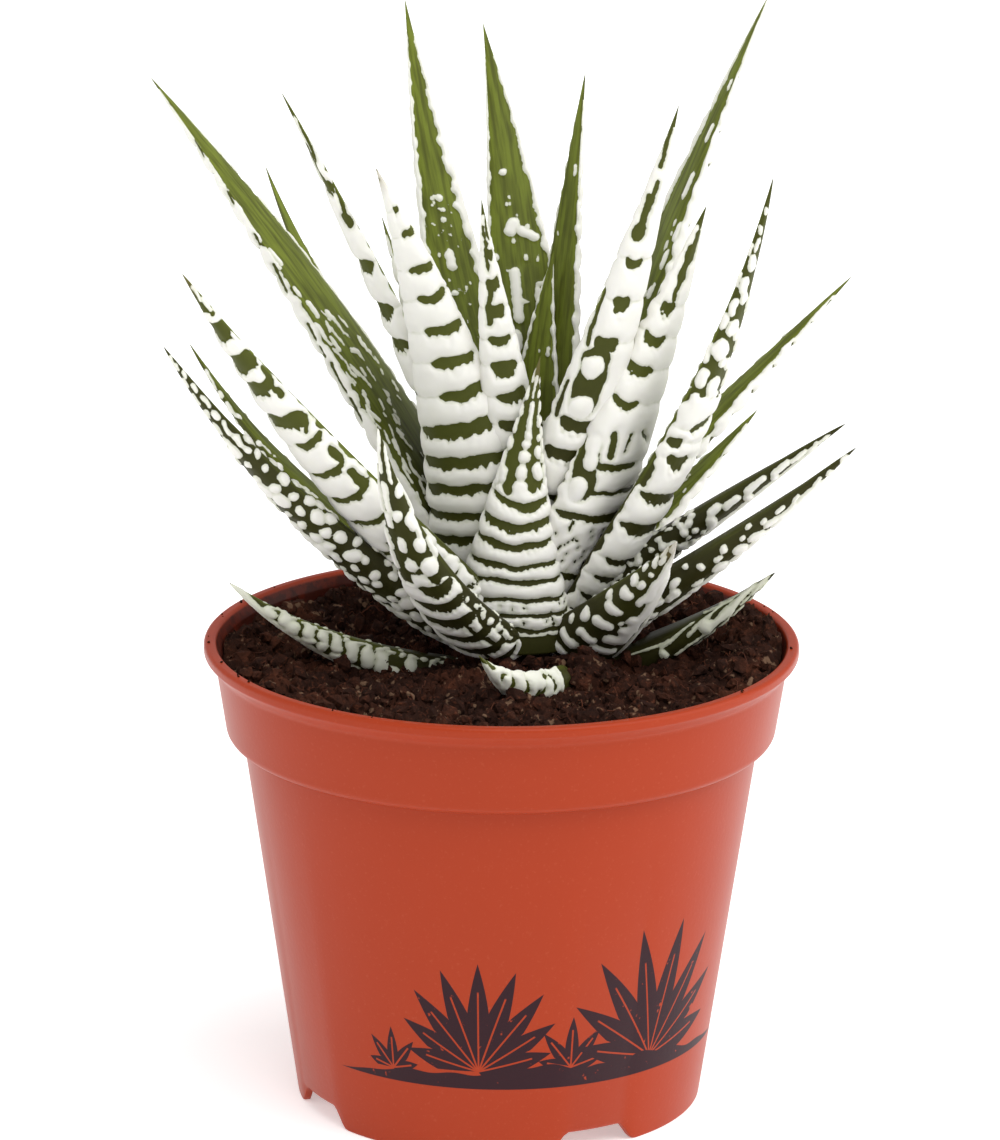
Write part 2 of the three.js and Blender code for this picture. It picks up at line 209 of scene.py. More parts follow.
@dataclass
class Leaf:
    """Where a leaf stands, how it runs, its size and its marks, in mm and degrees.

    It starts at the height base, out from the stem's axis on the azimuth or else at
    a place of its own, at.  It rises at an angle, leans sideways by slant, and bends
    inwards by bow and sideways by sway along its length.
    """

    azimuth: float
    base: float
    rise: float
    length: float
    width: float
    thick: float
    out: float = 4.0
    at: tuple = None
    slant: float = 0.0
    bow: float = 0.0
    sway: float = 0.0
    roll: float = 0.0
    taper: float = 1.5
    foot: float = 0.62
    dark: float = 0.3          # how dark its green is
    cream: float = 0.0         # how yellowish its white is
    brown: float = 0.0         # how brown its tip is
    marks: Marks = field(default_factory=Marks)


def neat():
    """Fine, even bands."""
    return Marks(pitch=(2.3, 2.8, 2.4), slit=(0.6, 0.8, 0.8))


def spotted(**changes):
    """Rows of spots and no bands."""
    return Marks(bands=(), **changes)


def beads(s, start, end, count, length, width):
    """Spots in a line along a leaf, smaller towards the tip."""
    line = []
    for index in range(count):
        part = (index + 0.5) / count
        wave = 0.22 * math.sin(2.4 * index)
        shrink = 1.0 - 0.45 * part
        line.append((start + (end - start) * part, s,
                     length * (1.0 + wave) * shrink, width * (1.0 - wave) * shrink))
    return tuple(line)


def green(**changes):
    """A leaf that shows its green inner face, with white at the margins."""
    look = {"edges": (0.9, 0.9), "scallop": 0.42, "bands": (0.0, 0.94),
            "reach": (-0.75, 0.75), "crease": False,
            "sprinkle": (6, 0.1, 0.7, 1.2, 2.8, 0.9)}
    return Marks(**{**look, **changes})


# leaf_01 and on: Leaf(azimuth, base, rise, length, width, thickness, ...)
LEAVES = [
    # the heart
    Leaf(
        75, 82, 80, 39, 8.5, 3.6, out=2.6, slant=9, bow=-12, sway=-14,
        marks=green(edges=(0.5, 0.5))),
    Leaf(
        262, 80, 79, 54, 9, 4, out=3, slant=-10, bow=2, sway=6,
        marks=Marks(
            pitch=(4.4, 4.4, 4), slit=(1.7, 1.7, 1.6), reach=(-0.35, 0.75),
            gaps=((0.86, -0.1, 7, 0.5), (0.7, -0.15, 6, 0.9, 8), (0.93, 0.5, 5, 0.4)))),
    Leaf(
        160, 77.5, 62, 52, 8, 3.6, bow=10, sway=-2,
        marks=green(edges=(0.6, 0.6))),
    Leaf(
        45, 78, 77, 69, 9.5, 4.2, out=2.4, slant=11, bow=-6, sway=-2,
        marks=green(edges=(0.2, 0.2), dots=((0.79, -1.6, 1.6, 0.6),))),
    Leaf(
        298, 81, 69, 71.5, 12, 6, out=1.5, slant=8, bow=3, sway=-3, taper=1.2,
        marks=Marks(
            even=(0, 0.14), reach=(-0.9, 0.4),
            cuts=((0.65, -0.55, 0.1, 1.3, 1), (0.562, -0.5, 0.06, 2.3, 0.6),
                (0.47, -0.62, 0.08, 2.2, 0.5), (0.285, -0.72, 0.04, 2, 0.4),
                (0.215, -0.8, 0, 1.9, 0.4)),
            gaps=((0.905, -0.45, 6.5, 0.9), (0.81, -0.2, 4, 0.9), (0.765, -0.4, 6, 1.5),
                (0.72, -0.45, 3, 2), (0.52, -0.88, 9, 0.9), (0.385, -0.37, 11.5, 4.7),
                (0.33, -0.88, 6, 0.9)),
            dots=((0.418, -0.42, 3.7, 4), (0.328, -0.38, 3.8, 4.2), (0.425, 0.2, 4.4, 1.5),
                (0.36, 0.2, 3.6, 1.7)))),
    # the tall leaves
    Leaf(
        95, 78, 70, 77, 13.5, 4.6, out=3.6, slant=-1, bow=-7, sway=10,
        marks=green(
            edges=(0.9, 0.5), sprinkle=(26, 0.44, 0.66, 1.5, 2.6, 0.5),
            dots=((0.705, 1.75, 1.2, 1.2), (0.6, 1.86, 3.2, 1.8, -32),
                (0.585, -1.62, 3.6, 1.4, 62), (0.546, 1.18, 1.2, 2.2), (0.47, 1.83, 8.4, 1.5),
                (0.487, -1.42, 0.9, 2.4), (0.468, -1.6, 2.2, 0.9), (0.385, 1.75, 3.4, 1.6)))),
    Leaf(
        112, 74, 67, 84.5, 12.5, 4.6, out=4.2, slant=8, bow=7, sway=-5,
        marks=green(
            edges=(1.5, 0.7), sprinkle=(44, 0.4, 0.66, 1.4, 2.5, 0.3),
            dots=((0.655, 1.95, 1.1, 1.1), (0.632, 1.98, 0.8, 0.8), (0.617, 2.05, 0.7, 0.6),
                (0.545, 1.88, 3.3, 1.5), (0.49, 1.8, 0.9, 1.2)))),
    Leaf(
        252, 64, 84, 74.5, 16, 6.5, at=(-1.5, 6.5), slant=-1, bow=-4, sway=-20, taper=1.6,
        dark=0.2, brown=0.5,
        marks=Marks(
            bands=(0, 0.985), even=(0, 0.22), pitch=(3.7, 3.7, 3.7), slit=(1.1, 1.1, 1.1),
            reach=(-0.96, 0.96),
            cuts=((0.91, 0, 0.6, 0.9, 0.2), (0.862, 0, 1, 0.9, 0.2, 0.3),
                (0.79, -0.15, 1, 1.1, 0.2), (0.73, -0.15, 0.9, 1.4, 0.3, 0.2),
                (0.665, -0.2, 0.95, 1.5, 0.4, 0.2), (0.6, -0.2, 0.9, 1.6, 0.4),
                (0.535, -0.2, 0.95, 1.6, 0.6, 0.6), (0.465, -0.8, 0.95, 2, 0.6, 0.5),
                (0.4, -0.9, 0.95, 1.6, 0.5), (0.345, -0.9, 0.9, 1.3, 0.4), (0.29, -1, 1, 1.1, 0.3),
                (0.24, -1, 1, 1.3, 0.2)))),
    Leaf(
        195, 72, 69.5, 80.5, 11, 5, at=(1, 12.5), slant=-2, bow=-7, sway=-1,
        marks=Marks(
            even=(0, 0.46), pitch=(5.5, 6, 6), slit=(1.6, 1.8, 1.8), reach=(-0.9, 0.8),
            cuts=((0.81, -0.5, 0.9, 1.9, 0.2), (0.655, -0.6, 0.9, 2.1, 0.2),
                (0.567, -0.6, 0.86, 2.4, 0.3), (0.5, -0.6, 0.85, 1.9, 0.3, -0.3)),
            gaps=((0.93, -0.3, 9, 0.8), (0.86, 0.2, 7, 1, -6), (0.91, 0.8, 8, 0.6),
                (0.775, 0.86, 7, 0.9, 4), (0.745, 0.72, 2.6, 1.4, -20)))),
    Leaf(
        315, 72, 72.6, 62.5, 15, 6.5, slant=10, bow=2, sway=1.5, taper=1.6,
        marks=Marks(
            even=(0, 0.12), scallop=0.45, sprinkle=(-46, 0.06, 0.22, -0.8, 0.8, 0.6),
            cuts=((0.752, -0.7, -0.05, 1.8, 0.5), (0.672, -0.8, -0.05, 1.5, 0.8, -0.2),
                (0.6, -0.9, -0.1, 1.5, 0.4, -0.2), (0.515, -0.85, -0.15, 1.2, 0.6, -0.2),
                (0.362, -0.7, 0.3, 1.1, 0.3, 0.4), (0.3, -0.7, 0.7, 0.7, 0.4, 0.5),
                (0.235, -1, 0.6, 1.1, 0.3, 0.5)),
            gaps=((0.9, 0, 5, 1.1), (0.86, -0.25, 6, 1.5, 4), (0.8, -0.25, 4, 1),
                (0.345, -0.74, 9.6, 4, -8), (0.415, -0.42, 4.4, 1.2, -8), (0.425, -0.1, 3.2, 0.6),
                (0.44, 0.32, 3, 0.5, -50), (0.56, -1, 5, 0.8), (0.64, -1, 3, 0.7)),
            dots=((0.388, -0.75, 5.6, 2.5, -6), (0.295, -0.74, 3.8, 3.1)))),
    Leaf(
        272, 66, 87, 44, 17.5, 7, at=(1.3, 0), bow=1, sway=10, taper=0.85, foot=0.95, brown=0.4,
        marks=Marks(
            bands=(0.07, 0.57), even=(), sharp=0.8, sprinkle=(-40, 0.04, 0.2, -0.9, 0.9, 0.5),
            cuts=((0.495, -0.75, 0.9, 1.2, 1.9, -0.1), (0.425, -0.95, 0.95, 1.2, 1.9),
                (0.365, -1, 1, 1, 1.5), (0.3, -1, 1, 0.75, 0.9), (0.25, -1, 1, 0.7, 0.7),
                (0.19, -1, 1, 0.65, 0.5), (0.14, -1, 1, 0.6, 0.3), (0.09, -1, 1, 0.6, 0.2)),
            gaps=((0.56, -0.38, 2, 1.5), (0.565, 0.32, 1.6, 1.2, -30)),
            dots=((0.565, 0, 2.1, 2), (0.612, 0, 2.1, 1.8), (0.665, 0, 2.1, 1.8),
                (0.708, 0, 1.4, 1.4), (0.738, 0, 1.3, 1.1), (0.8, 0.02, 4.6, 0.9),
                (0.9, 0, 3, 0.5), (0.6, -0.62, 2.6, 1.4), (0.62, 0.52, 3, 1.7, -20),
                (0.685, 0.5, 1.9, 1.4), (0.735, 0.55, 1.2, 1), (0.79, 0.62, 2, 0.8),
                *beads(-0.84, 0.56, 0.96, 7, 3, 1.7), *beads(0.86, 0.56, 0.94, 9, 2.2, 1.6)))),
    # the spreading leaves
    Leaf(
        137, 77.5, 30, 70.5, 8, 4.4, slant=4.5, bow=29, sway=-7, dark=0.2,
        marks=green(edges=(0.3, 0.4), bands=(0, 0.8))),
    Leaf(
        158, 67, 59.4, 93.5, 15.5, 5.5, out=5, bow=-11, sway=1, taper=1.8,
        marks=green(
            edges=(0.7, 0.2), bands=(0, 0.97),
            sprinkle=(90, 0.22, 0.55, 1.02, 2.5, 1.6),
            dots=((0.66, 1.2, 3, 0.9, 5), (0.6, 1.15, 2.2, 0.8), (0.565, 1.3, 3.2, 1),
                (0.545, 1.75, 1.6, 1.2), (0.53, 1.1, 3, 0.9), (0.475, 1.8, 2.2, 0.9, 60),
                (0.5, 1.3, 2.6, 0.8)),
            gaps=((0.865, 0.86, 3, 0.4), (0.775, 0.84, 2.4, 0.5), (0.7, 0.9, 2, 0.5),
                (0.63, 0.86, 5, 0.6), (0.535, 0.84, 3, 0.7), (0.5, 0.8, 2, 0.6),
                (0.455, 0.84, 5, 0.7), (0.4, 0.8, 4, 0.7), (0.37, 0.5, 3, 0.7)))),
    Leaf(
        328, 67.5, 53.5, 76, 12, 5.5, slant=7, bow=26, sway=-3, dark=0.45,
        marks=Marks(
            bands=(0.05, 0.57), even=(0, 0.2), edges=(0, 0.2), scallop=0.5,
            dots=((0.935, -0.4, 1.2, 0.9), (0.9, -0.5, 1.4, 0.9), (0.87, -0.45, 2.4, 1.1),
                (0.835, -0.4, 2.6, 1.5), (0.79, -0.5, 3.2, 1.7), (0.765, -0.25, 2, 1.8, 40),
                (0.715, -0.9, 2.6, 1.3), (0.705, -0.35, 3, 2.4), (0.66, -0.55, 3, 3.4, 30),
                (0.6, -0.8, 3, 2.1), (0.585, -0.25, 3.2, 2.8), (0.635, -0.2, 2, 1.6),
                (0.65, -1, 3.4, 1.1), (0.8, -1, 2.4, 0.8), (0.86, -1, 2, 0.7), (0.75, 0.3, 3, 1.2),
                (0.67, 0.35, 3, 1.6), (0.6, 0.4, 3, 1.8), (0.745, -0.7, 2.6, 1.5),
                (0.69, 0.05, 2, 1.5), (0.63, 0.1, 2.2, 1.6),
                *beads(-1.35, 0.36, 0.7, 10, 1.8, 0.6)),
            cuts=((0.505, -0.5, 0.3, 1.2, 0.2, 0.9), (0.465, -0.95, -0.5, 1.4, 0.3),
                (0.425, -0.7, 0, 1.9, 0.5), (0.345, -0.9, 0.9, 1.5, 0.3),
                (0.275, -0.9, 0.9, 1.8, 0.3)),
            gaps=((0.385, -0.9, 4, 1),))),
    Leaf(
        20, 72, 46, 62, 9, 4.6, out=3.4, bow=-4,
        marks=green(edges=(0.2, 0.3))),
    Leaf(
        215, 65, 43, 79, 13, 7, out=4.3, slant=-5, bow=14, sway=-2, roll=10, taper=1.7, brown=0.3,
        marks=Marks(
            bands=(0, 0.915), even=(0, 0.36), edges=(0.5, 0.2), pitch=(2.7, 2.7, 2.7),
            slit=(0.7, 0.8, 0.8), sprinkle=(-40, 0.08, 0.36, 0.1, 0.95, 0.9),
            cuts=((0.872, -0.6, 1, 3.3, 0.2), (0.8, -0.6, 1, 3.2, 0.3),
                (0.742, -0.6, 0.95, 2.4, 0.3), (0.665, -0.6, 0.95, 2.5, 0.3, -0.6),
                (0.605, 0, 0.95, 1.1, 0.5, 0.2), (0.535, -0.3, 0.9, 1, 0.5, 0.4),
                (0.472, -0.3, 0.95, 1.1, 0.5, 0.5), (0.41, -0.3, 0.95, 1, 0.3)),
            gaps=((0.64, 0.75, 3, 0.7, 35), (0.56, 0.8, 3.4, 1.1, -10), (0.5, 0.78, 4, 1.4, -10),
                (0.76, 0.85, 3, 1), (0.72, 0.75, 2, 1.2)),
            dots=((0.955, 0.6, 2.4, 0.7), (0.93, 0.85, 2.6, 0.7), (0.84, 0.45, 1.9, 2.2),
                (0.768, 0.45, 2.2, 2.6)))),
    Leaf(
        168, 66, 22, 63, 9, 4.6, bow=35, sway=-4, dark=0.4,
        marks=spotted(
            rows=2.1, step=1.6, size=(1.1, 1.3, 1.7), spots=(0.1, 0.95),
            sprinkle=(16, 0.2, 0.8, 1, 1.5, 0.9),
            dots=((0.9, 0.8, 3, 0.5), (0.82, 0.85, 3, 0.7)))),
    Leaf(
        30, 69, 33, 42, 9, 4.6, out=3.6, bow=9,
        marks=green(edges=(0.1, 0.3))),
    Leaf(
        352, 68.5, 38, 51, 11, 6, out=3.2, bow=-2, roll=-10, dark=0.9,
        marks=spotted(
            spots=(0.02, 0.52), rows=1.8, step=1.45, size=(1.2, 1.4, 1.5),
            across=(-1.5, 1),
            dots=((0.535, -0.5, 1.7, 3.4, 20), (0.565, -0.85, 2.4, 1.4), (0.6, -0.08, 12, 1.6),
                (0.615, -0.7, 3.2, 1.5, 6), (0.66, -0.45, 1.8, 2.2), (0.7, -0.75, 4, 1.3, 6),
                (0.755, -0.45, 1.6, 1.4), (0.78, -0.7, 3.4, 1.2, 8), (0.8, -0.1, 10, 1.1),
                (0.84, -0.65, 3, 1), (0.89, -0.5, 2.4, 0.8), (0.93, -0.6, 2, 0.6)))),
    Leaf(
        230, 64, 24.5, 54, 12.5, 7, out=4.3, slant=2, bow=54, dark=0.8,
        marks=Marks(
            bands=(0.08, 0.52), even=(), edges=(0.4, -0.2), smile=0.3,
            sprinkle=(12, 0.16, 0.42, 0.9, 1.25, 0.8),
            cuts=((0.49, 0.05, 0.95, 1.9, 0.6), (0.43, -0.4, 0.9, 1.7, 0.5),
                (0.36, -0.5, 0.8, 2.1, 0.4), (0.285, -0.6, 0.95, 1.7, 0.4),
                (0.215, -0.7, 0.95, 1.7, 0.4), (0.145, -0.8, 0.9, 1.5, 0.4)),
            gaps=((0.36, 0.88, 8, 1.7), (0.24, 0.94, 9, 2.2), (0.31, 0.5, 2.6, 0.7),
                (0.25, 0.62, 2.2, 0.8), (0.18, 0.3, 2, 0.7)),
            dots=((0.93, -0.1, 7, 1), (0.92, 0.95, 9, 0.7), (0.8, 0, 5, 1.3), (0.81, 0.88, 2, 1.8),
                (0.745, 0.32, 2, 1.7), (0.73, -0.1, 3, 1.5), (0.715, 0.78, 3, 1.9, -20),
                (0.75, 1, 10, 0.9), (0.65, 0.1, 3.2, 1.7), (0.645, 0.68, 2.4, 2.2),
                (0.585, 0.12, 2.6, 2.2), (0.575, 0.62, 3.2, 3.1, 20), (0.535, 0.2, 2, 3.2),
                (0.62, 1, 4, 1.1), (0.82, -0.5, 8, 1.3), (0.66, -0.45, 4, 1.8), (0.59, -0.5, 4, 2),
                *beads(0.9, 0.2, 0.43, 6, 1.7, 1.2)))),
    Leaf(
        200, 62.5, 32, 74, 10.5, 6, out=4.2, bow=25, sway=4, roll=15, taper=1.7, dark=0.8,
        marks=spotted(
            spots=(0.02, 0.74), rows=2.5, step=2.6, size=(1.9, 2.3, 1.9), drop=0.04,
            across=(-1, 1.4),
            dots=(*beads(0.1, 0.74, 0.97, 6, 2.6, 1.4), *beads(0.68, 0.74, 0.98, 7, 2.6, 1.2)))),
    # the lowest leaves
    Leaf(
        336, 63.8, 33.8, 57.3, 13, 6.5, out=3.8, bow=9.5, dark=0.9,
        marks=spotted(
            spots=(0.02, 0.4), rows=1.9, step=1.75, size=(1.3, 1.8, 1.5),
            across=(-1.6, 1),
            dots=((0.42, -0.8, 1.7, 1.5), (0.4, -0.6, 1.8, 2.4, 30), (0.455, -0.42, 2, 1.4, 30),
                (0.47, -1, 1.2, 1.2), (0.5, -0.75, 1.2, 1.4), (0.53, -0.38, 2.6, 2.2, 30),
                (0.545, -0.68, 1.3, 1), (0.575, -0.8, 1.3, 1.6, 30), (0.6, -0.42, 2.8, 2.6),
                (0.63, -0.75, 0.9, 0.9), (0.655, -0.42, 2.8, 2.2, 30), (0.71, -0.5, 3, 1.5, 20),
                (0.66, -0.95, 1.4, 0.8), (0.76, -0.3, 4, 1.8), (0.83, -0.3, 5, 1.4),
                (0.7, -0.8, 1.3, 1), (0.75, -0.72, 1.6, 1), (0.8, -0.65, 1.6, 0.9),
                (0.87, -0.6, 2, 0.8), *beads(-0.12, 0.3, 0.98, 14, 3.4, 2.6)))),
    Leaf(
        315, 63, 33, 34, 12, 7, bow=20, sway=-4, roll=-25, taper=1.7, dark=0.85, brown=0.5,
        marks=Marks(
            bands=(),
            dots=((0.06, -0.5, 0.9, 3.6), (0.12, -0.55, 1.1, 4), (0.185, -0.6, 1.6, 4),
                (0.265, -0.6, 1.7, 4.2), (0.345, -0.42, 1.8, 4), (0.335, -0.88, 1.5, 1.4),
                (0.42, -0.8, 2, 1.8), (0.455, -0.42, 1.9, 3.8), (0.5, -0.08, 0.9, 0.9),
                (0.55, -0.5, 1.9, 3.4), (0.58, -0.85, 1.8, 1.3), (0.655, -0.55, 1.8, 2.8),
                (0.73, -0.74, 1.8, 1.8), (0.8, -0.88, 1.5, 1.4), (0.8, -0.38, 0.9, 0.9),
                (0.735, -0.4, 1.5, 1.3), (0.86, -0.7, 1.8, 1.2), (0.89, -0.35, 2, 0.8),
                (0.15, 0.1, 1.1, 4.4), (0.225, 0.05, 1.4, 5), (0.305, 0.05, 1.6, 4.8),
                (0.385, 0.12, 1.8, 4.6), (0.46, 0.22, 1.9, 3.8), (0.53, 0.18, 1.8, 3.2),
                (0.6, 0.35, 16, 2.4, 2), (0.82, 0.22, 12, 1.7, 3), (0.4, 0.62, 15, 1.6),
                (0.97, -0.1, 2.4, 1.2), (0.93, -0.95, 2.4, 0.9), (0.66, 0, 3, 1.4, 20),
                *beads(-1.4, 0.1, 0.8, 9, 1.9, 0.9)))),
    Leaf(
        196, 59.6, 4, 46, 11, 6.5, bow=38, sway=2, roll=15, taper=1.6, dark=0.6, cream=0.4,
        marks=Marks(
            bands=(), sprinkle=(46, 0.08, 0.9, 1.1, 1.5, 0.7),
            dots=((0.92, 0.5, 7, 1), (0.84, 0.62, 2.4, 1.7), (0.79, 0.78, 1.9, 2.6),
                (0.755, 0.55, 2.1, 2.8, -20), (0.71, 0.82, 1.9, 2.6, -15), (0.69, 0.42, 1.9, 2),
                (0.663, 0.85, 1.7, 2.2), (0.645, 0.48, 1.7, 2.4, -20), (0.61, 0.8, 1.8, 2.8, -10),
                (0.592, 0.36, 1.6, 2.2), (0.555, 0.72, 2, 3.8, -15), (0.53, 0.26, 3, 1.4),
                (0.5, 0.7, 1.9, 4, -20), (0.45, 0.68, 2, 4.4, -25), (0.4, 0.52, 1.9, 3.4, -25),
                (0.362, 0.82, 1.8, 2.6, -20), (0.32, 0.6, 1.7, 3, -20), (0.285, 0.88, 1.4, 1.6),
                (0.25, 0.55, 1.4, 2.4), (0.2, 0.75, 1.3, 1.8), (0.17, 0.45, 1.3, 1.6),
                (0.88, 0.1, 10, 1.3), (0.76, 0.12, 6, 1.6), (0.62, 0.06, 8, 1.6),
                (0.45, 0.12, 9, 2), (0.3, 0.15, 7, 1.4), *beads(1.06, 0.12, 0.86, 20, 1.5, 1.1),
                *beads(-0.7, 0.1, 0.9, 16, 2.2, 1.8)))),
    Leaf(
        345, 58.3, 22, 37, 11.5, 6.5, bow=21, dark=0.9, cream=0.45,
        marks=Marks(
            bands=(),
            dots=((0.665, -0.68, 2.6, 2.8), (0.8, -0.8, 9, 1.3, 3), (0.68, -1, 7, 0.7),
                (0.56, -1, 6, 0.6), (0.44, -1.02, 6, 0.5), (0.77, -0.58, 1.8, 1.3),
                (0.33, -0.72, 1.7, 1.8), (0.47, -0.7, 1.3, 1.9), (0.25, -0.85, 1.2, 1.2),
                (0.22, -0.68, 1.6, 0.9), (0.93, -0.85, 4, 0.8), (0.85, -1.35, 8, 0.5),
                (0.74, -1.4, 5, 0.5), (0.35, -0.35, 1.6, 1.2), (0.26, -0.2, 1.6, 1.2),
                *beads(-0.5, 0.5, 0.96, 6, 3.2, 0.6), *beads(0.1, 0.3, 0.96, 9, 3.4, 1.4)))),
    Leaf(
        215, 63.5, -7, 27, 7.2, 5, at=(11, -4.5), slant=19.5, bow=54, sway=2, roll=50, foot=0.3,
        cream=0.25,
        marks=Marks(
            bands=(0.27, 0.95), even=(), edges=(0.3, 0.5), sharp=0.5,
            cuts=((0.785, -0.05, 0.66, 0.7, -0.8), (0.68, -0.1, 0.62, 0.7, 0.3, 0.4),
                (0.555, -0.1, 0.62, 0.8, 0.5, 0.5), (0.44, -0.2, 0.45, 0.6, 0.2, -0.5),
                (0.36, 0.3, 0.9, 0.6, 0.2, 0.7), (0.3, -0.4, 0.3, 0.7, 0.2)),
            gaps=((0.9, 0.75, 2.6, 0.9), (0.42, 0.85, 0.8, 1.2, 30), (0.26, 0.9, 0.8, 1),
                (0.57, -0.3, 0.6, 2, 30), (0.47, 0.05, 0.7, 2.4), (0.36, -0.15, 2.4, 1.5, 20),
                (0.29, 0, 1.3, 2), (0.2, 0.1, 2.4, 0.7), (0.12, 0.5, 2, 0.8)))),
    # the tallest leaf, behind the others, and two at the back
    Leaf(
        20, 72, 74, 90.8, 14.5, 5.5, out=3, slant=1, bow=-11, sway=3.7,
        marks=green(
            edges=(0.25, 1.9), bands=(0, 0.99), sprinkle=(10, 0.4, 0.62, -1.9, -1.2, 1.2),
            gaps=((0.72, 1.2, 2, 0.7, -30), (0.62, 1.15, 2, 0.8, -30), (0.53, 1.2, 2.4, 0.9, 20),
                (0.8, 1.1, 2, 0.5), (0.66, 0.9, 3, 0.5)),
            dots=((0.675, -1.5, 4.2, 1), (0.765, -1.5, 3, 0.8), (0.845, -1.5, 1.8, 0.7),
                (0.555, -1.3, 3, 1), (0.5, -1.4, 1.6, 1), (0.6, -1.15, 3, 1.2)))),
    Leaf(
        88, 64, 30, 38, 11, 5, bow=14,
        marks=neat()),
    Leaf(
        116, 65, 32, 39, 11, 5, bow=12,
        marks=neat()),
]

# ---- settings -------------------------------------------------------------------


def tint(name, description, default):
    """A setting for a colour."""
    return FloatVectorProperty(
        name=name, description=description, default=default, subtype="COLOR", min=0.0, max=1.0)


def measure(name, description, default, least=0.0):
    """A setting for a length, in mm."""
    return FloatProperty(name=name, description=description, default=default * MM,
                         min=least * MM, subtype="DISTANCE", unit="LENGTH")


def power(name, description, default):
    """A setting for the strength of a light."""
    return FloatProperty(name=name, description=description, default=default, min=0.0)


class LeafSettings(bpy.types.PropertyGroup):
    """Relief, fineness and colours of the leaves."""

    relief: measure("Relief", "How far the white tubercles stand out", 0.55)
    facet: measure("Facet", "Size of a leaf's facets", 0.32, 0.1)
    white: tint("White", "Colour of the tubercles", (0.84, 0.83, 0.775))
    cream: tint("Cream", "Tubercles of low, shaded leaves", (0.62, 0.66, 0.45))
    fresh: tint("Fresh green", "Colour of an inner face in the light", (0.19, 0.235, 0.026))
    deep: tint("Deep green", "Colour between the bands", (0.085, 0.098, 0.012))
    shade: tint("Shade green", "Colour of low, dark leaves", (0.030, 0.028, 0.006))
    dry: tint("Dry", "Colour of a dry tip", (0.23, 0.17, 0.08))


class PotSettings(bpy.types.PropertyGroup):
    """Segments and colours of the pot."""

    segments: IntProperty(
        name="Segments", description="Steps round the pot", default=288, min=48, max=512)
    plastic: tint("Plastic", "Colour of the pot", (0.355, 0.038, 0.009))
    ink: tint("Ink", "Colour of the printed design", (0.026, 0.007, 0.011))


class SoilSettings(bpy.types.PropertyGroup):
    """Amounts and colours of the soil."""

    crumbs: IntProperty(
        name="Crumbs", description="Loose crumbs on the soil", default=2600, min=0, max=6000)
    fibres: IntProperty(
        name="Fibres", description="Coir fibres on the soil", default=260, min=0, max=1500)
    peat: tint("Peat", "Dark colour of the soil", (0.024, 0.0095, 0.0062))
    coir: tint("Coir", "Reddish colour of its fibres", (0.115, 0.036, 0.018))


class StageSettings(bpy.types.PropertyGroup):
    """Floor, light and camera."""

    floor: tint("Floor", "Colour of the floor", (0.93, 0.93, 0.93))
    surround: power("Surround", "Light from all round", 0.50)
    glow: power("Floor glow", "Light from the floor, as on a light table", 0.42)
    key: power("Key light", "Strength of the soft light from above", 1.6)
    right: power("Right light", "Strength of the soft light from the right", 1.42)
    left: power("Left light", "Strength of the soft light from the left", 0.45)
    elevation: FloatProperty(
        name="Elevation", description="How far the camera looks down",
        default=0.2867, subtype="ANGLE", unit="ROTATION")
    distance: measure("Distance", "From the camera to the plant", 1000.0, 100.0)


# ---- material graphs ------------------------------------------------------------


class Number:
    """A socket that carries a number; an expression on it adds Math nodes."""

    def __init__(self, graph, socket):
        self.graph = graph
        self.socket = socket

    def math(self, operation, *others):
        return self.graph.node("ShaderNodeMath", {"operation": operation}, (self, *others))

    def __add__(self, other):
        return self.math("ADD", other)

    def __sub__(self, other):
        return self.math("SUBTRACT", other)

    def __rsub__(self, other):
        return self.graph.node("ShaderNodeMath", {"operation": "SUBTRACT"}, (other, self))

    def __mul__(self, other):
        return self.math("MULTIPLY", other)

    def __truediv__(self, other):
        return self.math("DIVIDE", other)

    def __abs__(self):
        return self.math("ABSOLUTE")

    __radd__ = __add__
    __rmul__ = __mul__

    def least(self, other):
        return self.math("MINIMUM", other)

    def most(self, other):
        return self.math("MAXIMUM", other)

    def clamped(self):
        """The number kept between 0 and 1."""
        return self.graph.node(
            "ShaderNodeMath", {"operation": "MULTIPLY", "use_clamp": True}, (self, 1.0))


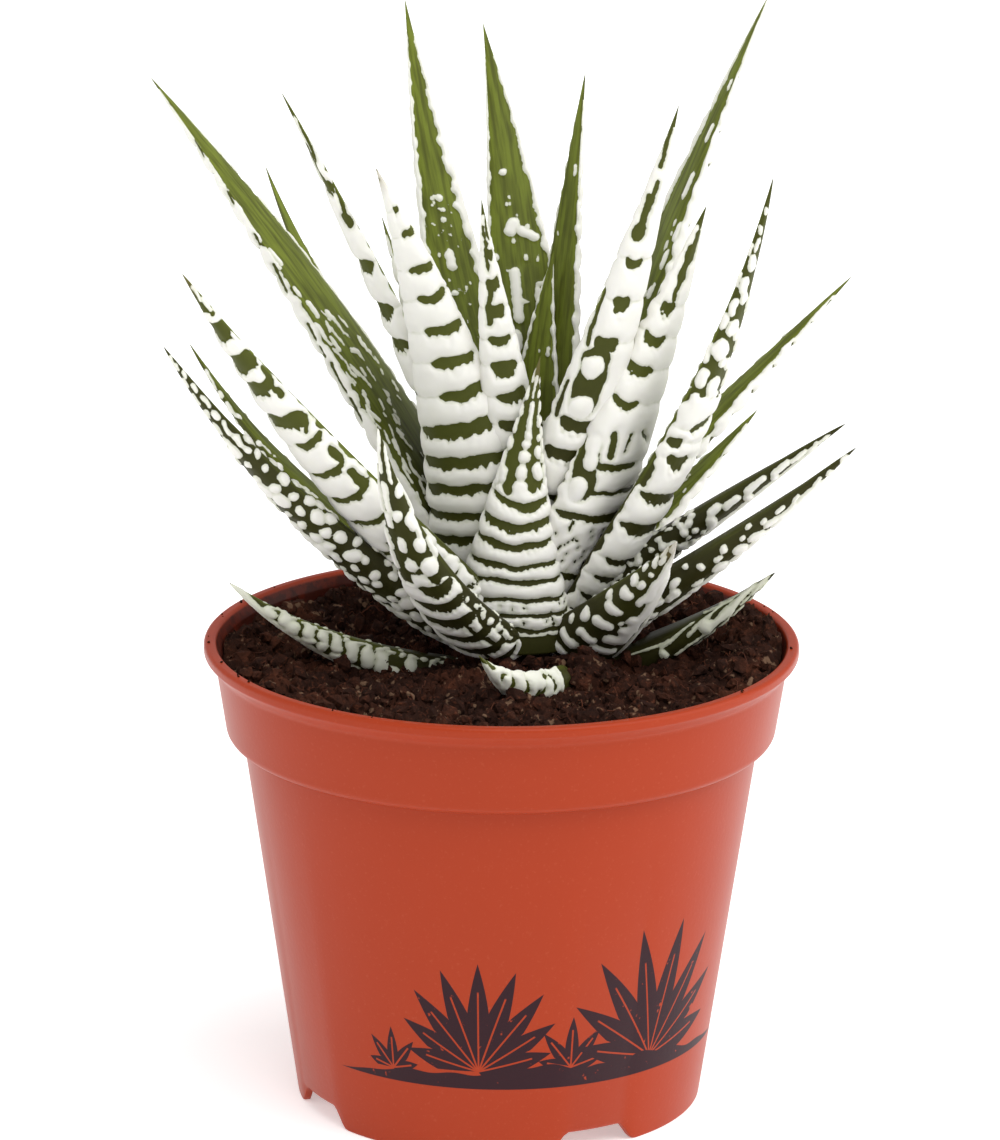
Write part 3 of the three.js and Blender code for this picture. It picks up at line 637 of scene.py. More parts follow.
class Graph:
    """The nodes of one material, and the few ways in which they are joined."""

    def __init__(self, name):
        self.material = bpy.data.materials.new(name)
        self.material.use_nodes = True
        self.nodes = self.material.node_tree.nodes
        self.links = self.material.node_tree.links
        self.shader = self.nodes["Principled BSDF"]
        self.place = self.node("ShaderNodeTexCoord", output="Object")

    def node(self, kind, settings=None, inputs=(), output=0):
        """Any node.  inputs are in the sockets' order, or a dict by socket name."""
        made = self.nodes.new(kind)
        for name, value in (settings or {}).items():
            setattr(made, name, value)
        pairs = inputs.items() if isinstance(inputs, dict) else enumerate(inputs)
        for key, value in pairs:
            self.feed(made.inputs[key], value)
        return Number(self, made.outputs[output])

    def feed(self, socket, value):
        """A link or a plain value into a socket."""
        if isinstance(value, Number):
            self.links.new(value.socket, socket)
        elif hasattr(value, "__len__") and socket.type == "RGBA" and len(value) == 3:
            socket.default_value = (*value, 1.0)
        else:
            socket.default_value = value

    def mix(self, factor, low, high):
        """A colour between two, by a factor."""
        made = self.nodes.new("ShaderNodeMix")
        made.data_type = "RGBA"
        for socket, value in zip((0, 6, 7), (factor, low, high)):
            self.feed(made.inputs[socket], value)
        return Number(self, made.outputs[2])

    def scaled(self, vector, by):
        """A vector or colour times a number."""
        return self.node("ShaderNodeVectorMath", {"operation": "SCALE"}, {0: vector, "Scale": by})

    def vector(self, *axes):
        """A vector of three numbers."""
        return self.node("ShaderNodeCombineXYZ", inputs=axes)

    def axes(self, vector):
        """The three numbers of a vector."""
        made = self.nodes.new("ShaderNodeSeparateXYZ")
        self.feed(made.inputs[0], vector)
        return [Number(self, socket) for socket in made.outputs]

    def noise(self, vector, scale, detail=2.0, roughness=0.5):
        """Smooth noise from 0 to 1; scale is in waves per unit of the vector."""
        return self.node("ShaderNodeTexNoise", inputs={
            "Vector": vector, "Scale": scale, "Detail": detail, "Roughness": roughness})

    def attribute(self, name, output="Fac"):
        return self.node("ShaderNodeAttribute", {"attribute_name": name}, output=output)

    def step(self, number, low, high):
        """0 below low, 1 above high and smooth between them."""
        return self.node("ShaderNodeMapRange", {"interpolation_type": "SMOOTHSTEP"}, {
            "Value": number, "From Min": low, "From Max": high})

    def bump(self, height, strength, distance):
        normal = self.node("ShaderNodeBump", inputs={
            "Strength": strength, "Distance": distance, "Height": height})
        self.set("Normal", normal)

    def set(self, socket, value):
        """A value or link for a socket of the shader."""
        self.feed(self.shader.inputs[socket], value)


def leaf_material(look):
    """Waxy green skin with near-white tubercles, by the leaf's own attributes."""
    g = Graph("haworthia_leaf")
    inside = g.attribute("white")
    across, along, inner = g.axes(g.attribute("grain", "Vector"))
    dark, cream, brown = g.axes(g.attribute("tone", "Vector"))

    ragged = g.noise(g.place, 1600, 2.0)
    tubercle = g.step(inside + (ragged - 0.5) * 0.22, -0.05, 0.05)

    streaks = g.noise(g.vector(across * 1.5, along * 0.12, 0.0), 1.0, 3.0)
    mottle = g.noise(g.place, 320, 2.0)
    skin = g.mix(dark, look.deep, look.shade)
    lit = g.mix(g.step(streaks, 0.30, 0.62), look.deep, look.fresh)
    patches = g.noise(g.vector(across * 0.4, along * 0.09, 5.0), 1.0, 2.0)
    lit = g.mix(g.step(patches, 0.50, 0.66) * 0.5, lit, look.deep)
    skin = g.mix((inner * (1.0 - dark)).clamped(), skin, lit)
    skin = g.mix((mottle - 0.35) * 0.6, skin, g.scaled(skin, 0.55))

    pale = g.mix(cream, look.white, look.cream)
    # the white turns greener near its edge, where it lies thin over the green; along the creases
    # between bands this tint is also painted shade
    rim = g.step(inside, 0.0, 0.45)
    pale = g.mix((1.0 - rim) * 0.35, pale, g.mix(0.6, look.cream, look.fresh))
    blotch = g.noise(g.place, 700, 2.0)
    pale = g.mix((blotch - 0.5) * 0.35, pale, (0.66, 0.64, 0.60))

    colour = g.mix(tubercle, skin, pale)
    colour = g.mix(brown * 0.85, colour, look.dry)
    g.set("Base Color", colour)
    g.set("Roughness", 0.52 + tubercle * 0.06 - inner * 0.06)
    g.set("Specular IOR Level", 0.16)
    g.set("Subsurface Weight", 0.12)
    g.set("Subsurface Radius", (0.9, 1.0, 0.6))
    g.set("Subsurface Scale", 0.0006)
    g.bump(streaks * (1.0 - tubercle) + ragged * 0.35, 0.35, 0.00012)
    return g.material


def stem_material(look):
    """Dull green for the stem between the leaves."""
    g = Graph("haworthia_stem")
    fine = g.noise(g.place, 500, 3.0)
    g.set("Base Color", g.mix(fine, look.shade, look.deep))
    g.set("Roughness", 0.7)
    g.bump(fine, 0.4, 0.0002)
    return g.material


def soil_material(look):
    """Moist peat with reddish coir in it."""
    g = Graph("potting_soil")
    patches = g.noise(g.place, 160, 4.0, 0.6)
    grains = g.noise(g.place, 1300, 4.0, 0.65)
    colour = g.mix(g.step(patches, 0.42, 0.75) * 0.5, look.peat, look.coir)
    colour = g.mix(g.step(grains, 0.54, 0.72) * 0.75, colour, look.coir)
    colour = g.mix(g.step(grains, 0.48, 0.25) * 0.7, colour, (0.004, 0.0025, 0.002))
    flecks = g.noise(g.place, 620, 2.0)
    colour = g.mix(g.step(flecks, 0.62, 0.70) * 0.75, colour, (0.22, 0.13, 0.08))
    g.set("Base Color", colour)
    g.set("Roughness", 0.92 - g.step(grains, 0.6, 0.8) * 0.2)
    g.set("Specular IOR Level", 0.08)
    g.bump(grains + patches * 0.5, 0.9, 0.0006)
    return g.material


def fibre_material(look):
    """Reddish brown coir."""
    g = Graph("coir_fibre")
    patches = g.noise(g.place, 120, 2.0)
    colour = g.mix(g.step(patches, 0.35, 0.7), look.coir, (0.03, 0.009, 0.005))
    g.set("Base Color", colour)
    g.set("Specular IOR Level", 0.15)
    g.set("Roughness", 0.75)
    return g.material


def fan(g, across, up, place, count, length, width):
    """A printed fan of pointed leaves that stand on a point, 0 or 1, in mm."""
    aside, above = across - place[0], up - place[1]
    angle = above.math("ARCTAN2", aside)
    gap = (math.pi - 2.0 * FAN_EDGE) / (count - 1)
    index = ((angle - FAN_EDGE) / gap).math("ROUND").most(0.0).least(count - 1.0)
    heading = index * gap + FAN_EDGE
    turn = angle - heading
    far = (aside * aside + above * above).math("SQRT")
    reach = (heading.math("SINE") * 0.45 + 0.55) * length
    part = (far * turn.math("COSINE") / reach).clamped()
    half = part.math("SQRT") * (1.0 - part) * (1.3 * width)
    off = abs(far * turn.math("SINE"))
    body = g.step(half - off, 0.0, 0.07)
    rib = g.step(off, 0.10, 0.16).most(g.step(part, 0.72, 0.74))
    return body * rib


def pot_material(look):
    """Satin plastic with a dark printed design of plants on a strip of ground."""
    g = Graph("pot_plastic")
    x, y, z = g.axes(g.scaled(g.place, 1.0 / MM))
    radius = (x * x + y * y).math("SQRT")
    around = x.math("ARCTAN2", 0.0 - y) * PRINT_RADIUS

    bumps = (around * 0.31).math("SINE") * 0.5 + (around * 0.83 + 1.0).math("SINE") * 0.3
    middle, half = GROUND
    away = (around - middle) / half
    top = (bumps + GROUND_HEIGHT) * (1.0 - away * away) + GROUND_FOOT
    design = g.step(z - GROUND_FOOT, -0.05, 0.05) * g.step(top - z, -0.05, 0.05)
    for place, count, length, width in FANS:
        design = design.most(fan(g, around, z, place, count, length, width))
    outside = g.step(radius - wall_radius(z), -0.4, -0.3)
    worn = g.noise(g.place, 900, 3.0)
    design = design * outside * g.step(worn, 0.24, 0.34)

    clouds = g.noise(g.place, 26, 3.0)
    specks = g.noise(g.place, 2200, 2.0)
    colour = g.mix((clouds - 0.35) * 0.5, look.plastic, tuple(c * 0.8 for c in look.plastic))
    colour = g.mix(g.step(specks, 0.60, 0.75) * 0.2, colour, (0.47, 0.10, 0.05))
    face = band_radius(z) - WALL / 2
    inside = g.step(face - radius, 0.0, 0.1) * g.step(z, BAND_FOOT, BAND_FOOT + 2.0)
    # soil dirt on the pot's inner wall, and painted shade there: it covers more of the wall the
    # deeper it lies in the pot
    dirt_and_shade = g.step(g.noise(g.place, 420, 4.0, 0.65) + inside * (67.0 - z) * 0.09, 0.46, 0.61)
    colour = g.mix(dirt_and_shade * inside * 0.92, colour, (0.032, 0.013, 0.009))
    # painted shade: the pot's inner wall darkened towards a deep red-brown
    colour = g.mix(inside * 0.8, colour, (0.07, 0.013, 0.008))
    g.set("Base Color", g.mix(design, colour, look.ink))
    g.set("Roughness", 0.30 + clouds * 0.10 + design * 0.08)
    g.set("Specular IOR Level", 0.16)
    fine = g.noise(g.place, 1500, 2.0)
    g.bump(fine + clouds * 2.0, 0.18, 0.00008)
    return g.material


# ---- meshes ---------------------------------------------------------------------


def finish(bm, name, material, smooth=True):
    """The bmesh as an object that rides on the row's body."""
    mesh = bpy.data.meshes.new(name)
    bm.to_mesh(mesh)
    bm.free()
    mesh.polygons.foreach_set("use_smooth", np.full(len(mesh.polygons), smooth))
    mesh.materials.append(material)
    piece = bpy.data.objects.new(name, mesh)
    bpy.context.scene.collection.objects.link(piece)
    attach(piece, BODY)
    return piece


def ease(value, low, high):
    """0 below low, 1 above high and smooth between them."""
    part = np.clip((value - low) / (high - low), 0.0, 1.0)
    return part * part * (3.0 - 2.0 * part)


def turned(vector, axis, angle):
    """Vectors turned about an axis by each of several angles."""
    cos = np.cos(angle)[..., None]
    sin = np.sin(angle)[..., None]
    along = (vector * axis).sum(-1, keepdims=True)
    return vector * cos + np.cross(axis, vector) * sin + axis * along * (1.0 - cos)


def leaf_frame(leaf, t):
    """Places, in mm, and the across and inner directions at the parts t of a leaf."""
    azimuth, rise = math.radians(leaf.azimuth), math.radians(leaf.rise)
    outward = np.array([math.cos(azimuth), math.sin(azimuth), 0.0])
    up = np.array([0.0, 0.0, 1.0])
    along = outward * math.cos(rise) + up * math.sin(rise)
    inward = up * math.cos(rise) - outward * math.sin(rise)
    slant = np.array([math.radians(leaf.slant)])
    side = turned(np.array([-outward[1], outward[0], 0.0]), inward, slant)[0]
    along = turned(along, inward, slant)[0]

    x, y = leaf.at or (STEM_AXIS[0] + leaf.out * outward[0], STEM_AXIS[1] + leaf.out * outward[1])
    bow, sway = math.radians(leaf.bow), math.radians(leaf.sway)
    bend = math.hypot(bow, sway)
    towards = (inward * bow + side * sway) / bend
    axis = np.cross(along, towards)
    angle = bend * t
    place = np.array([x, y, leaf.base]) + leaf.length / bend * (
        along * np.sin(angle)[:, None] + towards * (1.0 - np.cos(angle))[:, None])
    ahead = turned(along, axis, angle)
    roll = np.full_like(t, math.radians(leaf.roll))
    across = turned(turned(side, axis, angle), ahead, roll)
    inner = turned(turned(inward, axis, angle), ahead, roll)
    return place, across, inner


def leaf_taper(leaf, t):
    """How wide a leaf is at the parts t of its length, 1 being its full width."""
    foot = leaf.foot + (1.0 - leaf.foot) * ease(t, 0.0, WIDEST)
    run = np.maximum(0.0, (t - TAPER_START) / (1.0 - TAPER_START))
    return foot * (1.0 - run ** leaf.taper)


class Skin:
    """A leaf's smooth surface as a grid of rings and corners, in mm.

    Corner 0 is on the keel.  The corners run over the right half of the outer face
    to the right margin at a quarter of the way, and over the inner face.
    """

    def __init__(self, leaf, facet):
        self.leaf = leaf
        girth = 2.0 * leaf.width + 1.4 * leaf.thick
        self.corners = 4 * max(6, round(girth / facet / 4))
        self.rings = max(24, round(leaf.length / facet))
        self.t = np.linspace(0.0, 1.0, self.rings + 1)
        place, across, inner = leaf_frame(leaf, self.t)
        taper = leaf_taper(leaf, self.t)[:, None]
        depth = leaf.thick * taper ** THINNING
        angle = 1.5 * np.pi + 2.0 * np.pi * np.arange(self.corners) / self.corners
        cos, sin = np.cos(angle), np.sin(angle)
        cos[np.abs(cos) < 1e-9] = 0.0
        sin[np.abs(sin) < 1e-9] = 0.0
        share = np.where(sin <= 0.0, OUTER_SHARE, 1.0 - OUTER_SHARE)
        x = np.sign(cos) * np.abs(cos) ** FULLNESS * leaf.width / 2.0 * taper
        y = np.sign(sin) * np.abs(sin) ** FULLNESS * depth * share
        y = y + depth * (OUTER_SHARE - 0.5)
        self.points = (place[:, None] + across[:, None] * x[..., None]
                       + inner[:, None] * y[..., None])
        self.measure(x, y)

    def measure(self, x, y):
        """Distances round each ring from the keel, positive to the right."""
        half = self.corners // 2
        hop = np.hypot(np.diff(x, append=x[:, :1]), np.diff(y, append=y[:, :1]))
        right = np.concatenate([np.zeros((len(x), 1)), np.cumsum(hop[:, :half], 1)], 1)
        self.round = np.empty_like(hop)
        self.round[:, :half + 1] = right
        self.round[:, half + 1:] = -right[:, 1:half][:, ::-1]
        self.margin = right[:, half // 2]
        self.middle = right[:, half]

    def normals(self):
        """Directions out of the surface."""
        round_ = np.roll(self.points, -1, 1) - np.roll(self.points, 1, 1)
        ahead = np.gradient(self.points, axis=0)
        out = np.cross(round_, ahead)
        return out / np.maximum(np.linalg.norm(out, axis=2, keepdims=True), 1e-9)


class Pattern:
    """How deep each point of a leaf lies in the white, in mm; less than 0 is green."""

    def __init__(self, skin, rng):
        self.skin = skin
        self.rng = rng
        self.marks = skin.leaf.marks
        self.length = skin.leaf.length
        along = np.broadcast_to(skin.t[:, None] * self.length, skin.round.shape)
        self.along = along + 0.15 * self.ripple(3.2)
        self.across = skin.round + 0.15 * self.ripple(3.2)
        side = np.where(skin.round >= 0.0, 1.0, -1.0)
        self.inner = side * (skin.middle[:, None] - np.abs(skin.round))
        self.depth = np.full(skin.round.shape, -9.0)

    def ripple(self, size):
        """Smooth unevenness, mostly from -1 to 1, in waves of a size in mm."""
        total = 0.0
        for _ in range(5):
            heading = self.rng.normal(size=3)
            heading /= np.linalg.norm(heading)
            wave = 2.0 * math.pi / (size * self.rng.uniform(0.7, 1.3))
            total = total + np.sin(self.skin.points @ heading * wave + self.rng.uniform(0.0, 6.28))
        return total / 2.2

    def half(self, t):
        """From the keel to a margin at t, round the outer face."""
        return float(np.interp(t, self.skin.t, self.skin.margin))

    def rings(self, along, reach):
        """The rings within a reach of a place along the leaf."""
        near = np.nonzero(np.abs(self.skin.t * self.length - along) < reach)[0]
        return slice(near[0], near[-1] + 1) if len(near) else slice(0, 0)

    def cover(self, start, end, edges, scallop):
        """White on the whole outer face, and a little way round the margins."""
        left, right = edges
        size = self.skin.margin[:, None] / (0.5 * self.skin.leaf.width)
        uneven = 0.85 * self.ripple(2.6) + 0.2 * self.ripple(1.2)
        edge = np.where(self.skin.round < 0.0, left, right) + scallop * uneven
        white = self.skin.margin[:, None] + edge * np.minimum(1.0, 1.6 * size)
        white = white - np.abs(self.skin.round)
        white = np.minimum(white, self.along - start * self.length)
        self.depth = np.minimum(white, end * self.length - self.along + 0.5 * self.ripple(1.6))

    def slit(self, t, left, right, width, rise=None, lean=0.0):
        """A green slit across the outer face, smooth above and toothed below."""
        marks = self.marks
        rise = marks.smile if rise is None else rise
        half = self.half(t)
        start, end = left * half, right * half
        rings = self.rings(t * self.length, width + abs(rise) + abs(lean) + 3.0)
        across = self.across[rings]
        part = (2.0 * across - start - end) / (end - start)
        inside = np.clip(part, -1.0, 1.0)
        side = np.abs(inside)
        curve = (1.0 - marks.sharp) * side ** 2 + marks.sharp * side
        centre = t * self.length + rise * curve + lean * inside
        open_ = 0.5 * width * (1.0 - side ** 6)
        off = self.along[rings] - centre
        away = np.where(off > 0.0, off - open_, -off - open_ * self.teeth[rings])
        beyond = np.maximum(np.abs(part) - 1.0, 0.0) * (end - start) / 2.0
        away = np.hypot(np.maximum(away, 0.0), beyond) + np.minimum(away, 0.0)
        crease = np.maximum(np.abs(off) + 0.13, np.abs(across) - 1.1 * half)
        away = np.minimum(away, crease) if marks.crease else away
        self.depth[rings] = np.minimum(self.depth[rings], away)

    def slits(self):
        """Evenly spaced slits, and those that are given one by one."""
        marks, rng = self.marks, self.rng
        self.teeth = 1.15 + 0.28 * self.ripple(1.0) + 0.15 * self.ripple(2.5)
        if marks.even:
            along = marks.even[0] * self.length + 0.6 * marks.pitch[0]
            while along < marks.even[1] * self.length:
                t = along / self.length
                left, right = marks.reach
                width = between(marks.slit, t) * rng.uniform(0.8, 1.2)
                self.slit(t, left * rng.uniform(0.85, 1.05), right * rng.uniform(0.85, 1.05),
                          width, marks.smile, 0.3 * rng.uniform(-1.0, 1.0))
                along += between(marks.pitch, t) * rng.uniform(0.92, 1.08)
        for cut in marks.cuts:
            self.slit(*cut)

    def blob(self, t, s, length, width, turn=0.0):
        """Depth in a rounded bar, and the rings that it lies on."""
        half = self.half(t)
        rings = self.rings(t * self.length, max(length, width) / 2.0 + 1.5)
        if abs(s) <= 1.0:
            across = self.across[rings] - s * half
        else:
            inner = float(np.interp(t, self.skin.t, self.skin.middle)) - half
            across = self.inner[rings] - math.copysign(2.0 - abs(s), s) * inner
        along = self.along[rings] - t * self.length
        angle = math.radians(turn) + (math.pi / 2.0 if width > length else 0.0)
        ahead = along * math.cos(angle) + across * math.sin(angle)
        aside = across * math.cos(angle) - along * math.sin(angle)
        radius = min(length, width) / 2.0
        run = np.maximum(np.abs(ahead) - (max(length, width) / 2.0 - radius), 0.0)
        return radius - np.hypot(run, aside), rings

    def dot(self, *shape, blend=0.12):
        """A white spot that fuses a little with its neighbours."""
        depth, rings = self.blob(*shape)
        here = self.depth[rings]
        self.depth[rings] = blend * np.logaddexp(depth / blend, here / blend)

    def gap(self, *shape):
        depth, rings = self.blob(*shape)
        self.depth[rings] = np.minimum(self.depth[rings], -depth)

    def spots(self):
        """Staggered rows of spots on the outer face."""
        marks, rng = self.marks, self.rng
        along, row = marks.spots[0] * self.length + 0.5 * marks.rows, 0
        while along < marks.spots[1] * self.length:
            t = along / self.length
            half = self.half(t)
            count = max(2, round(2.0 * half / marks.step))
            first = math.floor((marks.across[0] + 1.0) * count / 2.0)
            last = math.ceil((marks.across[1] + 1.0) * count / 2.0)
            for index in range(first, last + 1):
                s = -1.0 + (2.0 * index + row % 2) / count
                size = float(np.interp(s, (-1.0, 0.0, 1.0), marks.size))
                size *= min(1.0, 0.35 + half / 4.0) * rng.uniform(0.6, 1.25)
                jog = rng.uniform(-0.25, 0.25, 2)
                turn = rng.uniform(-70.0, 70.0)
                missing = rng.random() < marks.drop
                if missing or not marks.across[0] <= s <= marks.across[1]:
                    continue
                place = (along + jog[0] * marks.rows) / self.length
                self.dot(place, s + jog[1] / count, size, size * rng.uniform(0.8, 1.3), turn)
            along += marks.rows * rng.uniform(0.9, 1.1)
            row += 1

    def sprinkle(self, count, start, end, left, right, size):
        """Small dashes along the leaf, white or, with a count under 0, green."""
        shape = self.dot if count > 0 else self.gap
        for _ in range(abs(count)):
            t = self.rng.uniform(start, end)
            s = self.rng.uniform(left, right)
            s = s if abs(s) <= 2.0 else s - math.copysign(4.0, s)
            width = self.rng.uniform(0.35, 0.6) * min(1.0, 0.6 + 0.5 * size)
            shape(t, s, max(width, size * self.rng.uniform(0.6, 1.6)), width,
                  self.rng.uniform(-25.0, 25.0))


def between(values, t):
    """A value given for the foot, the middle and the tip, at t."""
    return np.interp(t, (0.0, 0.5, 1.0), values)


def leaf_pattern(skin, rng):
    """The white of one leaf, from its marks."""
    marks = skin.leaf.marks
    pattern = Pattern(skin, rng)
    if marks.bands:
        pattern.cover(*marks.bands, marks.edges, marks.scallop)
        pattern.slits()
    for gap in marks.gaps:
        pattern.gap(*gap)
    if marks.spots:
        pattern.spots()
    for dot in marks.dots:
        pattern.dot(*dot)
    if marks.sprinkle:
        pattern.sprinkle(*marks.sprinkle)
    pattern.depth += 0.05 * pattern.ripple(1.3) + 0.03 * pattern.ripple(0.6)
    return pattern


def leaf_piece(name, leaf, look, material):
    """One leaf with its tubercles raised."""
    facet = look.facet / MM * 1.0
    skin = Skin(leaf, facet)
    pattern = leaf_pattern(skin, np.random.default_rng(1 + sum(map(ord, name))))
    inside = pattern.depth
    most = RELIEF_MOST * leaf.width / 2.0 * leaf_taper(leaf, skin.t)
    relief = np.minimum(look.relief / MM, most) * ease(skin.t, *RELIEF_START)
    height = 0.6 * ease(inside, -0.10, 0.34) + 0.4 * ease(inside, 0.1, 1.6)
    points = skin.points + skin.normals() * ((height - INSET) * relief[:, None])[..., None]

    bm = bmesh.new()
    bmesh.ops.create_uvsphere(
        bm, u_segments=skin.corners, v_segments=skin.rings, radius=1.0)
    unit = np.array([v.co for v in bm.verts])
    ring = np.rint(skin.rings * (1.0 - np.arccos(np.clip(unit[:, 2], -1, 1)) / np.pi)).astype(int)
    corner = np.rint(np.arctan2(unit[:, 1], unit[:, 0]) / (2 * np.pi) * skin.corners)
    corner = corner.astype(int) % skin.corners
    for pole, t in ((0, 0), (skin.rings, -1)):
        points[pole] = points[t].mean(0)
    place = points[ring, corner] * MM
    for vertex, co in zip(bm.verts, place):
        vertex.co = co
    piece = finish(bm, f"{name}_skin", material)
    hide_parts(name)

    inner = np.abs(skin.round) >= skin.margin[:, None]
    across = np.where(inner, pattern.inner, skin.round)
    grain = np.stack([across, pattern.along, inner.astype(float)], 2)[ring, corner]
    start, end = DRY_TIP
    dry = leaf.brown * ease(skin.t * leaf.length, leaf.length - start, leaf.length - end)
    # painted shade: each leaf's green darker towards its foot, on top of its own darkness
    start, end = FOOT_SHADE_END
    dark = np.minimum(1.0, leaf.dark + FOOT_SHADE * ease(-skin.t, -end, -start))
    tone = np.stack([dark, np.full_like(dry, leaf.cream), dry], 1)[ring]
    store(piece, "white", "FLOAT", "value", np.clip(inside, -2.0, 2.0)[ring, corner])
    store(piece, "grain", "FLOAT_VECTOR", "vector", grain)
    store(piece, "tone", "FLOAT_VECTOR", "vector", tone)


def store(piece, name, kind, key, values):
    """An attribute on every point of a piece."""
    made = piece.data.attributes.new(name, kind, "POINT")
    made.data.foreach_set(key, np.ascontiguousarray(values, np.float32).ravel())


# ---- pot ------------------------------------------------------------------------


def rounded(section, steps=5, support=0.25):
    """The section's corners made into small arcs, as (radius, height) points."""
    points = []
    for index, (radius, height, rounding) in enumerate(section):
        here = Vector((radius, height))
        if not rounding:
            points.append(here)
            continue
        back = (Vector(section[index - 1][:2]) - here).normalized()
        ahead = (Vector(section[index + 1][:2]) - here).normalized()
        half = back.angle(ahead) / 2.0
        reach = rounding / math.tan(half)
        middle = here + (back + ahead).normalized() * rounding / math.sin(half)
        start = here + back * reach - middle
        end = here + ahead * reach - middle
        points.append(here + back * (reach + support))
        for step in range(steps + 1):
            part = step / steps
            points.append(middle + (start * (1.0 - part) + end * part).normalized() * rounding)
        points.append(here + ahead * (reach + support))
    return points


def notch_lift(x, y):
    """How far the foot is raised, in mm, which is nothing between the notches."""
    angle = math.degrees(math.atan2(y, x))
    top, foot = NOTCH_HALF
    away = min(abs((angle - at + 180.0) % 360.0 - 180.0) for at in NOTCH_AT)
    part = (foot - math.radians(away) * FOOT_RADIUS) / (foot - top)
    part = min(1.0, max(0.0, part))
    return NOTCH_HEIGHT * part * part * (3.0 - 2.0 * part)


def pot_piece(look, material):
    """The pot's wall, turned from its section, with notches in its foot."""
    bm = bmesh.new()
    line = [bm.verts.new((r * MM, 0.0, z * MM)) for r, z in rounded(pot_section())]
    for one, other in zip(line, line[1:]):
        bm.edges.new((one, other))
    segments = look.segments // 1
    bmesh.ops.spin(
        bm, geom=bm.verts[:] + bm.edges[:], cent=(0, 0, 0), axis=(0, 0, 1),
        angle=2 * math.pi, steps=segments, use_merge=True)
    bmesh.ops.remove_doubles(bm, verts=bm.verts, dist=1e-6)
    for vertex in bm.verts:
        z = vertex.co.z / MM
        if z < FLOOR - 1e-4:
            lift = notch_lift(vertex.co.x, vertex.co.y)
            vertex.co.z = (lift + z * (1.0 - lift / FLOOR)) * MM
    bmesh.ops.recalc_face_normals(bm, faces=bm.faces)
    pot = finish(bm, "pot_shell", material)
    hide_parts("pot")


def floor_piece(material):
    """The pot's floor, with holes in it."""
    bm = bmesh.new()
    middle = Matrix.Translation((0.0, 0.0, (FLOOR + FLOOR_THICK / 2) * MM))
    radius = (wall_radius(FLOOR) - WALL / 2) * MM
    bmesh.ops.create_cone(
        bm, cap_ends=True, segments=96, radius1=radius, radius2=radius,
        depth=FLOOR_THICK * MM, matrix=middle)
    floor = finish(bm, "pot_floor", material, smooth=False)
    bm = bmesh.new()
    for hole in range(DRAINS):
        angle = 2 * math.pi * hole / DRAINS
        place = Vector((math.cos(angle), math.sin(angle), 0.0)) * DRAIN_RING * MM
        place.z = (FLOOR + FLOOR_THICK / 2) * MM
        bmesh.ops.create_cone(
            bm, cap_ends=True, segments=32, radius1=DRAIN_RADIUS * MM,
            radius2=DRAIN_RADIUS * MM, depth=4 * FLOOR_THICK * MM,
            matrix=Matrix.Translation(place))
    cut(floor, bm)


def cut(piece, bm):
    """Takes the shapes in the bmesh out of a piece."""
    mesh = bpy.data.meshes.new("cutter")
    bm.to_mesh(mesh)
    bm.free()
    cutter = bpy.data.objects.new("cutter", mesh)
    bpy.context.scene.collection.objects.link(cutter)
    modifier = piece.modifiers.new("cut", "BOOLEAN")
    modifier.operation = "DIFFERENCE"
    modifier.solver = "EXACT"
    modifier.object = cutter
    graph = bpy.context.evaluated_depsgraph_get()
    result = bpy.data.meshes.new_from_object(piece.evaluated_get(graph))
    piece.modifiers.clear()
    piece.data = result
    bpy.data.objects.remove(cutter)


# ---- soil -----------------------------------------------------------------------


def crumbly(x, y):
    """Height of the soil's surface with its lumps and crumbs, in mm."""
    lumps = noise.fractal(Vector((x * 0.30, y * 0.30, 3.1)), 1.0, 2.0, 2)
    crumbs = noise.fractal(Vector((x * 0.9, y * 0.9, 7.7)), 0.8, 2.1, 3)
    grains = noise.noise(Vector((x * 2.6, y * 2.6, 1.3)))
    start, width = SOIL_SLOPE
    edge = min(1.0, max(0.0, (math.hypot(x, y) - start) / width))
    height = soil_height(x, y) + (SOIL_RISE * (3.0 - 2.0 * edge) - SOIL_DIP) * edge ** 2
    for middle, rise, along, across, turn in SOIL_HOLLOWS:
        away = Matrix.Rotation(-math.radians(turn), 2) @ Vector((x - middle[0], y - middle[1]))
        height += rise * math.exp(-(away.x / along) ** 2 - (away.y / across) ** 2)
    return height + 0.9 * lumps + 1.05 * crumbs + 0.48 * grains


def soil_piece(material):
    """The soil, from its crumbly surface down to the pot's floor."""
    steps = 190
    bm = bmesh.new()
    bmesh.ops.create_grid(bm, x_segments=steps, y_segments=steps, size=1.0)
    for vertex in bm.verts:
        x, y = vertex.co.x, vertex.co.y
        far = max(abs(x), abs(y))
        x, y = Vector((x, y)).normalized() * far
        rim = Vector((x, y)).normalized() * SOIL_RADIUS
        radius = band_radius(min(crumbly(*rim), HEIGHT - LIP_DEPTH)) - WALL - 0.08
        x, y = x * radius, y * radius
        vertex.co = Vector((x, y, crumbly(x, y))) * MM
    step = BAND_FOOT + STEP_THICK + 0.1
    bottom = FLOOR + FLOOR_THICK + 0.1
    for r, z in ((band_radius(step) - WALL - 0.1, step),
                 (wall_radius(BAND_FOOT) - WALL - 0.1, step),
                 (wall_radius(bottom) - WALL - 0.1, bottom)):
        edges = [edge for edge in bm.edges if edge.is_boundary]
        made = bmesh.ops.extrude_edge_only(bm, edges=edges)["geom"]
        for vertex in made:
            if isinstance(vertex, bmesh.types.BMVert):
                flat = Vector((vertex.co.x, vertex.co.y, 0.0)).normalized()
                vertex.co = (flat * r + Vector((0, 0, z))) * MM
    bmesh.ops.edgeloop_fill(bm, edges=[edge for edge in bm.edges if edge.is_boundary])
    bmesh.ops.recalc_face_normals(bm, faces=bm.faces)
    soil = finish(bm, "soil_bed", material)
    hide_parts("soil")


